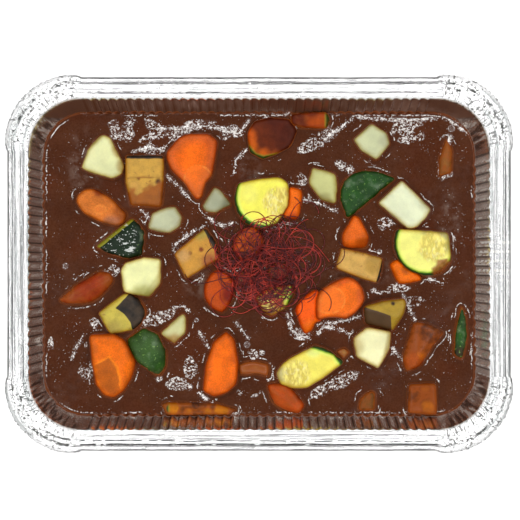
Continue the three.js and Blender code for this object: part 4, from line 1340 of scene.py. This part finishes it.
# %% Where the skin of the sauce is creased
# patches: middle and half sizes in mm, turn in degrees, strength
PATCHES = (
    (-133.4, -57, 2.4, 12, 0, 1.0),
    (-78.7, 85.7, 24, 9, 0, 1.0), (-52, 84, 10, 6, 10, 0.8), (-16.3, 84.4, 10, 5, 20, 1.0),
    (96, 84.8, 12, 9, 0, 1.0), (25, 54.7, 7, 4.5, -30, 0.9), (38, 79, 17, 5, 28, 1.0),
    (-64.6, -34.6, 13, 5, 20, 0.8), (19.8, -35.9, 2.5, 6, 0, 0.9), (26.9, -44.2, 9, 5, 0, 0.8),
    (-54, -76.2, 13, 5, -15, 1.0), (-44, -66.4, 5, 8, 0, 0.9), (1.3, -59.6, 10, 5, -20, 1.0),
    (-6.4, -81.3, 9, 5, 0, 0.7), (53.7, -74.3, 12, 5, 28, 1.0), (40.9, -80.7, 12, 4, 28, 0.9),
    (83.8, -16, 15, 4, 5, 0.8), (80.6, 25.6, 6, 5, 0, 0.7), (-94.7, -5.2, 7, 5, 30, 0.8),
    (-106, -37.8, 4, 4, 0, 0.8), (-110, -68, 7, 6, 40, 0.7), (-40, 90, 14, 3, 0, 0.8),
    (55, 62, 8, 4, -30, 0.8), (-68, 72, 6, 7, 40, 0.8), (118, 60, 5, 9, 0, 0.5),
    (-50, 8, 5, 8, 60, 0.5), (8, 24, 8, 4, 20, 0.5), (100, -24, 8, 4, 0, 0.6),
)
# ridges: points in mm that a crease follows
RIDGES = (
    ((-82.6, 71), (-73, 73.6), (-61.4, 73.6)),
    ((-63.4, 86.4), (-34, 87.6), (-12.2, 83.8), (-6.4, 92.1)),
    ((3.8, 93.4), (13.4, 89.6), (23, 87)),
    ((45.4, 82.5), (60.8, 94), (89, 92.1), (119.7, 93.4), (133.1, 83.8)),
    ((122.9, 81.9), (117.8, 69.7), (115.8, 58.8)),
    ((-46, 84.5), (-36.5, 88), (-22, 86.5)),
    ((-7.7, 72.9), (-14.7, 66.5), (-16.6, 56.3)),
    ((-59.5, 56.3), (-51.8, 49.9), (-44.8, 42.2)),
    ((-77.5, 36.4), (-72.3, 31.3), (-67.9, 27.5)),
    ((-34.6, 32), (-29.4, 27.5), (-23, 24.3), (-16.6, 26.8)),
    ((27.5, 41.6), (37.7, 39), (49.3, 33.9)),
    ((-53.8, 12.1), (-44.2, 19.8), (-34.6, 24.3)),
    ((92.1, -20.5), (95.3, -26.3), (99.8, -35.9)),
    ((108.2, -9.6), (117.8, -12.2)),
    ((-54.5, -28.0), (-48.0, -27.0), (-43.5, -31.0)),
    ((-38.4, -42.9), (-34.6, -50), (-32, -53.8)),
    ((-14.7, -37.8), (-10.9, -42.3), (-7.7, -46.8)),
    ((18, -31), (20, -41), (26, -47), (33, -47)),
    ((37.5, -39), (41, -37.5), (49, -37.5), (58, -35.5), (65, -33.5)),
    ((38, -44.5), (41, -40), (50, -41), (58.5, -45)),
    ((-119.7, -60.2), (-115.8, -51.9), (-112.6, -45.5)),
    ((-38.4, -82), (-33.9, -86.4), (-30.1, -89)),
    ((85.8, -53.8), (88.9, -58.3), (92.1, -61.5)),
    ((30.1, 93.4), (33.9, 88.9), (44.2, 87.6)),
    ((-61.4, -93.5), (-57, -89), (-37.8, -90.3), (-15.4, -96)),
)
# dull grey gleams, a painted sheen: middle and half sizes in mm
GLEAMS = ((-112, 62, 12, 26), (122, 25, 8, 26), (-40, -10, 10, 14), (66, -4, 30, 10), (-6, 60, 8, 12))
# bubbles: middle in mm and radius
BUBBLES = (
    (123, 86.6, 1.9), (122.2, 57.3, 1.5), (77, 7.9, 1.4),
    (-7.7, -51.6, 1.7), (-123.6, -1.3, 1.6), (-40, -36, 1.2),
)
print("creased patches:", len(PATCHES), "ridges:", len(RIDGES), "bubbles:", len(BUBBLES))


# %% Distances from patches and ridges
def oval_share(x, y, oval, inner, outer):
    """1 inside an oval and 0 outside it; inner and outer are shares of its size."""
    at_x, at_y, half_x, half_y, degrees = oval
    turn = math.radians(degrees)
    dx, dy = x - at_x, y - at_y
    along = (dx * math.cos(turn) + dy * math.sin(turn)) / half_x
    aside = (dy * math.cos(turn) - dx * math.sin(turn)) / half_y
    return 1 - smooth_step(np.hypot(along, aside), inner, outer)


def patch_share(x, y):
    share = np.zeros(len(x))
    for *oval, strength in PATCHES:
        share = np.maximum(share, strength * oval_share(x, y, oval, 0.5, 1.2))
    return share


def ridge_distance(x, y):
    nearest = np.full(len(x), 99.0)
    for ridge in RIDGES:
        for start, end in zip(ridge, ridge[1:]):
            nearest = np.minimum(nearest, segment_distance(x, y, start, end))
    return nearest


# %% The sauce sheet, flat
SAUCE_CELLS = (344, 240)
OVERLAP = 0.1  # how far the sauce's edge reaches into the foil
FLUTED_ZONE = (0.3, 4.5)  # the distances from the edge over which the flutes run out
inset = float(wall_inset(SAUCE_LEVEL)) - OVERLAP
edge_radius = float(corner_radius(inset))
edge_x, edge_y = HALF_LENGTH - inset, HALF_WIDTH - inset
side_x, side_y = edge_x - edge_radius, edge_y - edge_radius  # where the straight sides end

bm = bmesh.new()
bmesh.ops.create_grid(bm, x_segments=SAUCE_CELLS[0], y_segments=SAUCE_CELLS[1], size=1)
flat = np.array([v.co[:2] for v in bm.verts])
y = flat[:, 1] * edge_y
beyond = np.clip(np.abs(y) - side_y, 0, edge_radius)
x = flat[:, 0] * (side_x + np.sqrt(edge_radius**2 - beyond**2))

# distance to the edge, and the way out
past_x, past_y = np.abs(x) - side_x, np.abs(y) - side_y
outside = np.hypot(past_x.clip(0), past_y.clip(0))
to_edge = edge_radius - outside - np.minimum(np.maximum(past_x, past_y), 0)
cornered = (past_x > 0) & (past_y > 0)
by_short_side = past_x >= past_y
way_x = np.where(cornered, past_x / outside.clip(1e-6), by_short_side) * np.sign(x)
way_y = np.where(cornered, past_y / outside.clip(1e-6), ~by_short_side) * np.sign(y)

# the edge follows the flutes of the wall
straight = np.where(by_short_side, y / side_y, x / side_x)
count = np.where(by_short_side, FLUTES_SHORT, FLUTES_LONG)
to_corner = (1 - np.abs(straight)) * count / 2
fade = np.where(cornered, 0, np.clip(to_corner / FLUTE_FADE, 0, 1))
flute = FLUTE_DEPTH * (lobe((straight + 1) / 2 * count % 1) - 0.5) * fade
flute *= 1 - smooth_step(to_edge, *FLUTED_ZONE)
x, y = x + flute * way_x, y + flute * way_y
print("sauce sheet, mm:", round(2 * edge_x, 1), "by", round(2 * edge_y, 1))

# %% The relief of the sauce
RIDGE_HEIGHT = 0.35
RIDGE_WIDTH = 0.9
CLIMB_WALL = 0.04
CLIMB_PIECE = 0.05
BUBBLE_RISE = 0.4  # height of a bubble for each millimetre of its radius
FARTHEST = 7.0  # distances past this are not measured

flat_points = np.column_stack([x, y, np.zeros(len(x))])
creased = patch_share(x, y)
creased *= smooth_step(field(flat_points, 7, 1), -0.6, 0.2)
crease = np.abs(field(flat_points, 3.2, 2)) + 0.5 * np.abs(field(flat_points, 1.7, 3))
to_ridge = ridge_distance(x, y) + 1.3 * field(flat_points, 4, 4)
broken = smooth_step(field(flat_points, 2.6, 5), -0.35, 0.35)
z = SAUCE_LEVEL + swell(x, y) + 0.08 * field(flat_points, 6, 6)
z += creased * (0.5 * crease - 0.15)
z += RIDGE_HEIGHT * np.exp(-((to_ridge / RIDGE_WIDTH) ** 2)) * broken
z += CLIMB_WALL * np.exp(-to_edge / 0.8)

past_bubble = np.full(len(x), NOWHERE)
for at_x, at_y, radius in BUBBLES:
    from_bubble = np.hypot(x - at_x, y - at_y)
    past_bubble = np.minimum(past_bubble, from_bubble - radius)
    z += BUBBLE_RISE * radius * np.clip(1 - (from_bubble / radius) ** 2, 0, 1)

# %% How near the food is
# one piece lies so little above the sauce that no oil has gathered round it
verts, faces, drowned = [], [], []
for piece in cooked:
    drowned += [piece.name == "cooked_pumpkin_1"] * len(piece.data.polygons)
    faces += [tuple(i + len(verts) for i in face.vertices) for face in piece.data.polygons]
    verts += (read_points(piece.data) / MM).tolist()
food = BVHTree.FromPolygons(verts, faces)
gap = np.full(len(x), FARTHEST)
to_oil = np.full(len(x), FARTHEST)
for i, place in enumerate(zip(x, y, z)):
    hit, normal, index, distance = food.find_nearest(Vector(place), FARTHEST)
    if hit is not None:
        gap[i] = distance if (Vector(place) - hit).dot(normal) > 0 else 0
        to_oil[i] = FARTHEST if drowned[index] else gap[i]
z += CLIMB_PIECE * np.exp(-gap / 0.7) * (0.8 + 0.4 * field(flat_points, 5, 7))
print("sauce height, mm:", round(z.min(), 1), "to", round(z.max(), 1))

# %% Close the sauce below and keep its distances
SAUCE_FLOOR = 1.4
SETBACK = 2.0
SETBACK_DROP = 1.2
gleam = np.zeros(len(x))
for oval in GLEAMS:
    gleam = np.maximum(gleam, oval_share(x, y, (*oval, 0), 0.3, 1.2))
kept = {
    "creased": creased, "ridge": to_ridge, "gap": gap, "to_edge": to_edge, "gleam": gleam,
    "bubble": past_bubble, "to_oil": to_oil,
}
for v, place in zip(bm.verts, np.column_stack([x, y, z])):
    v.co = place
for name, values in kept.items():
    keep(bm, name, values)
# the skirt steps back from the flutes at once, so that it never comes through the thin foil
drop = wall_inset(SAUCE_FLOOR) - wall_inset(SAUCE_LEVEL)
for inwards, at_height in ((SETBACK, SAUCE_LEVEL - SETBACK_DROP), (drop, SAUCE_FLOOR)):
    rim_edges = [e for e in bm.edges if e.is_boundary]
    skirt = bmesh.ops.extrude_edge_only(bm, edges=rim_edges)["geom"]
    for v in (g for g in skirt if isinstance(g, bmesh.types.BMVert)):
        v.co.x *= (edge_x - inwards) / edge_x
        v.co.y *= (edge_y - inwards) / edge_y
        v.co.z = at_height
bmesh.ops.edgeloop_fill(bm, edges=[e for e in bm.edges if e.is_boundary])
bmesh.ops.recalc_face_normals(bm, faces=bm.faces)
for face in bm.faces:
    face.smooth = True
bmesh.ops.scale(bm, vec=(MM, MM, MM), verts=bm.verts)
sauce = made_of(bm, "glossy_sauce")
print("sauce faces:", len(sauce.data.polygons))

# %% [markdown]
# ## Gravy
# The sauce itself is a dark, slightly mottled brown, with an orange ring of oil where it meets
# food or foil, and in places a painted pale grey sheen. Where its skin has folded it shows
# hair-thin bright crests, which are painted glints. Those are thinner than the faces of the
# sheet, so they are painted near white where a noise is near its middle, or at a set distance
# from a ridge, a piece or the wall, and broken up by finer noise. Each has its own relief and
# a clear coat, so that it also glitters by itself.

# %% Brown of the sauce
gravy, tree, shader = new_material(
    "gravy", IOR=1.45, Specular_IOR_Level=0.6, Coat_IOR=1.9, Coat_Roughness=0.08
)
patchy = spread(tree, grain(tree, 14, detail=4), 0.35, 0.7)
brown = blend(tree, patchy, rgb(80, 44, 27), rgb(88, 50, 31))
redder = spread(tree, grain(tree, 30, detail=2), 0.45, 0.7, 0, 0.5)
brown = blend(tree, redder, brown, rgb(92, 45, 25))
mottle = spread(tree, grain(tree, 1.1, detail=3), 0.3, 0.7)
brown = blend(tree, mottle, brown, rgb(232, 222, 214), mode="MULTIPLY")
oily_ring = spread(tree, painted(tree, "to_oil"), 0.3, 1.3, 0.42, 0.0)
brown = blend(tree, oily_ring, brown, rgb(136, 70, 28))
by_wall = spread(tree, painted(tree, "to_edge"), 0.3, 1.3, 0.5, 0.0)
brown = blend(tree, by_wall, brown, rgb(140, 74, 36))
# painted sheen: pale grey wisps where the gleams lie
wisps = spread(tree, grain(tree, 7, detail=5, rough=0.6), 0.42, 0.72, 0, 0.5)
brown = blend(tree, calc(tree, "MULTIPLY", wisps, painted(tree, "gleam")), brown, rgb(140, 122, 112))
print("sauce nodes so far:", len(tree.nodes))


# %% Helpers for bright crests
def crests(size, vector, thin):
    """1 along thin wandering lines, from how near a noise is to its middle."""
    return near(tree, calc(tree, "SUBTRACT", grain(tree, size, 2, 0.55, vector), 0.5), thin)


def patches(size, low, high, detail=1):
    return spread(tree, grain(tree, size, detail), low, high)


def at_distance(distance, wanted, wander, size, half_width):
    """A thin line that wanders about a set distance from something."""
    off = calc(tree, "MULTIPLY_ADD", grain(tree, size, detail=2), 2 * wander, distance)
    return near(tree, calc(tree, "SUBTRACT", off, wanted + wander), half_width)


# %% Folded skin and bright crests
where = add(tree, "TexCoord").outputs["Object"]
drawn = stretched(tree, where, (0.5, 1.0, 1.0), turn=math.radians(-25))
skin_share = calc(tree, "MULTIPLY_ADD", grain(tree, 2.5, detail=2), 0.5, painted(tree, "creased"))
skin_share = spread(tree, skin_share, 0.5, 0.75)
strands = product(tree, crests(3.8, drawn, 0.06), patches(1.5, 0.46, 0.53, detail=2))
threads_across = product(tree, crests(2.3, where, 0.045), patches(1.5, 0.5, 0.57))
blobs = largest(tree, patches(1.9, 0.63, 0.68), patches(0.8, 0.64, 0.7))
folded = product(tree, skin_share, largest(tree, strands, threads_across, blobs))

ridge, to_food, to_wall = (painted(tree, name) for name in ("ridge", "gap", "to_edge"))
dotted = patches(1.1, 0.42, 0.52, detail=2)
beaded = product(tree, near(tree, ridge, 0.75), dotted)
beside = product(tree, near(tree, ridge, 2.2), patches(1.0, 0.62, 0.68))
round_pieces = at_distance(to_food, 2.3, 1.1, 5, 0.4)
round_pieces = product(tree, round_pieces, dotted, patches(11, 0.56, 0.61))
second_line = at_distance(to_food, 3.4, 1.3, 4, 0.35)
second_line = product(tree, second_line, dotted, patches(9, 0.62, 0.67))
along_wall = at_distance(to_wall, 1.9, 0.5, 6, 0.42)
along_wall = product(tree, along_wall, patches(1.4, 0.47, 0.53), patches(24, 0.47, 0.53))
stray_dots = product(tree, patches(0.9, 0.715, 0.765), patches(12, 0.45, 0.58))
bubble_rims = near(tree, painted(tree, "bubble"), 0.4)
bubble_rims = product(tree, bubble_rims, patches(1.2, 0.45, 0.6), 0.38)
lines = (round_pieces, second_line, along_wall)
glint = largest(tree, bubble_rims, folded, beaded, beside, *lines, stray_dots)
print("sauce nodes so far:", len(tree.nodes))

# %% Shine of the sauce
bright = spread(tree, grain(tree, 1.2, detail=2), 0.35, 0.58, 0.4, 1.0)
# painted glints: the crests are painted near white
brown = blend(tree, product(tree, glint, bright), brown, rgb(252, 248, 244))
tree.links.new(brown, shader.inputs["Base Color"])
tree.links.new(spread(tree, grain(tree, 4, detail=3), 0.3, 0.7, 0.08, 0.16), shader.inputs["Roughness"])
tree.links.new(glint, shader.inputs["Coat Weight"])
fine = calc(tree, "MULTIPLY", grain(tree, 1.1, detail=2), 0.04)
relief = calc(tree, "MULTIPLY_ADD", glint, 0.15, fine)
bump = add(tree, "Bump", {"Height": relief, "Strength": 1.0, "Distance": 0.5 * MM})
tree.links.new(bump.outputs[0], shader.inputs["Normal"])
sauce.data.materials.append(gravy)
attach(sauce, "root")
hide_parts("curry_sauce")
print("sauce nodes:", len(tree.nodes))

# %% [markdown]
# ## Chili threads
# Chili threads are dry peppers cut as fine as hair. They lie in a loose nest, so loose that the
# food below shows through. Each is a long springy arc that keeps turning the same way for a
# while, held above whatever lies below it. As curves with a small round section they are quick to
# make, and they are turned into one mesh at the end.

# %% Chili red, in a darker and a lighter copy besides the plain one, from thread to thread
# the darker copy stands for threads in shade and the lighter one for lit threads: painted shade and
# painted light, given to threads at random
SHADES = {
    "chili_shaded": ((70, 22, 26), (112, 34, 34)),
    "chili_red": ((108, 30, 28), (156, 44, 38)),
    "chili_lit": ((150, 40, 32), (206, 66, 48)),
}
chili_reds = []
for name, (low_red, high_red) in SHADES.items():
    chili, tree, shader = new_material(name, Roughness=0.5, IOR=1.45)
    red = blend(tree, spread(tree, grain(tree, 5, detail=3), 0.38, 0.62), rgb(*low_red), rgb(*high_red))
    tree.links.new(red, shader.inputs["Base Color"])
    fine_relief(tree, shader, 0.5, 0.4, 0.1)
    chili_reds.append(chili)

print("shades of chili:", len(chili_reds))

# %% What the threads lie on
THREAD_RADIUS = 0.24
THREADS = 165
STRAYS = 12  # threads that hang out of the nest
STEP = 1.0
LIFT = 0.3  # least height above what lies below
TIGHTEST = 0.12  # radians that a thread may turn in a millimetre
TURN_HOME = 0.04
OVERHEAD = 60  # a height above everything
nest_low, nest_high = (np.array(corner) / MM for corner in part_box("chili_threads"))
nest_middle, nest_half = (nest_low + nest_high) / 2, (nest_high - nest_low) / 2
rand = random.Random(5)
down = Vector((0, 0, -1))


def top_of_food(at_x, at_y):
    hit = food.ray_cast(Vector((at_x, at_y, OVERHEAD)), down)[0]
    return max(hit.z if hit else 0, SAUCE_LEVEL + 0.6)


print("nest, mm:", [round(c, 1) for c in 2 * nest_half])

# %% Lay the threads
threads = bpy.data.curves.new("threads", "CURVE")
threads.dimensions = "3D"
threads.bevel_depth = THREAD_RADIUS * MM
threads.bevel_resolution = 0
threads.use_fill_caps = True
for chili in chili_reds:
    threads.materials.append(chili)
for number in range(THREADS):
    stray = number < STRAYS
    out = 0.95 if stray else 0.7 * rand.random() ** 0.8
    heading = rand.uniform(0, 2 * math.pi)
    px = nest_middle[0] + (2 if stray else 1) + nest_half[0] * out * math.cos(heading)
    py = nest_middle[1] - 3 + nest_half[1] * out * math.sin(heading)
    length = rand.uniform(28, 55) if stray else rand.uniform(30, 75)
    way = heading + rand.choice((-1, 1)) * rand.uniform(0.9, 2.2)
    bend = rand.choice((-1, 1)) * (rand.uniform(0.02, 0.07) if stray else rand.uniform(0.01, 0.09))
    rise = rand.uniform(0.3, 6.0)
    count = int(length / STEP)
    line = threads.splines.new("POLY")
    line.points.add(count - 1)
    line.material_index = rand.choice((0, 0, 0, 1, 1, 1, 2, 2))
    for i in range(count):
        bend += rand.gauss(0, 0.012)
        away = math.hypot((px - nest_middle[0]) / nest_half[0], (py - nest_middle[1]) / nest_half[1])
        if away > (1.35 if stray else 0.85):
            home = math.atan2(nest_middle[1] - py, nest_middle[0] - px)
            bend += TURN_HOME * math.sin(home - way)
        bend = max(-TIGHTEST, min(TIGHTEST, bend))
        way += bend * STEP
        px += STEP * math.cos(way)
        py += STEP * math.sin(way)
        wave = 0.5 + 0.5 * math.sin(i * STEP / 9 + number)
        lift = LIFT + rise * wave * max(0.08, 1 - away**2)
        pz = min(top_of_food(px, py) + lift, nest_high[2] + 3)
        line.points[i].co = (px * MM, py * MM, pz * MM, 1)
bundle = in_scene("threads", threads)
nest = in_scene("chili_nest", evaluated_mesh(bundle))
bpy.data.objects.remove(bundle)
print("thread faces:", len(nest.data.polygons))

# %% Turn the nest smooth and lay it in the frame
for face in nest.data.polygons:
    face.use_smooth = True
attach(nest, "root")
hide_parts("chili_threads")
print("threads:", THREADS, "of them loose:", STRAYS)

# %% [markdown]
# ## Sizes
# The box of the solids and the box of the finished model are printed side by side. The
# finished model has to keep to the box of the solids it stands for.

# %% Print the boxes
boxes = {"cad": [list(c) for c in cad_box], "visual": [list(c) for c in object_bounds()]}
for name, (low, high) in boxes.items():
    print(name, [round(c / MM, 1) for c in (*low, *high)])
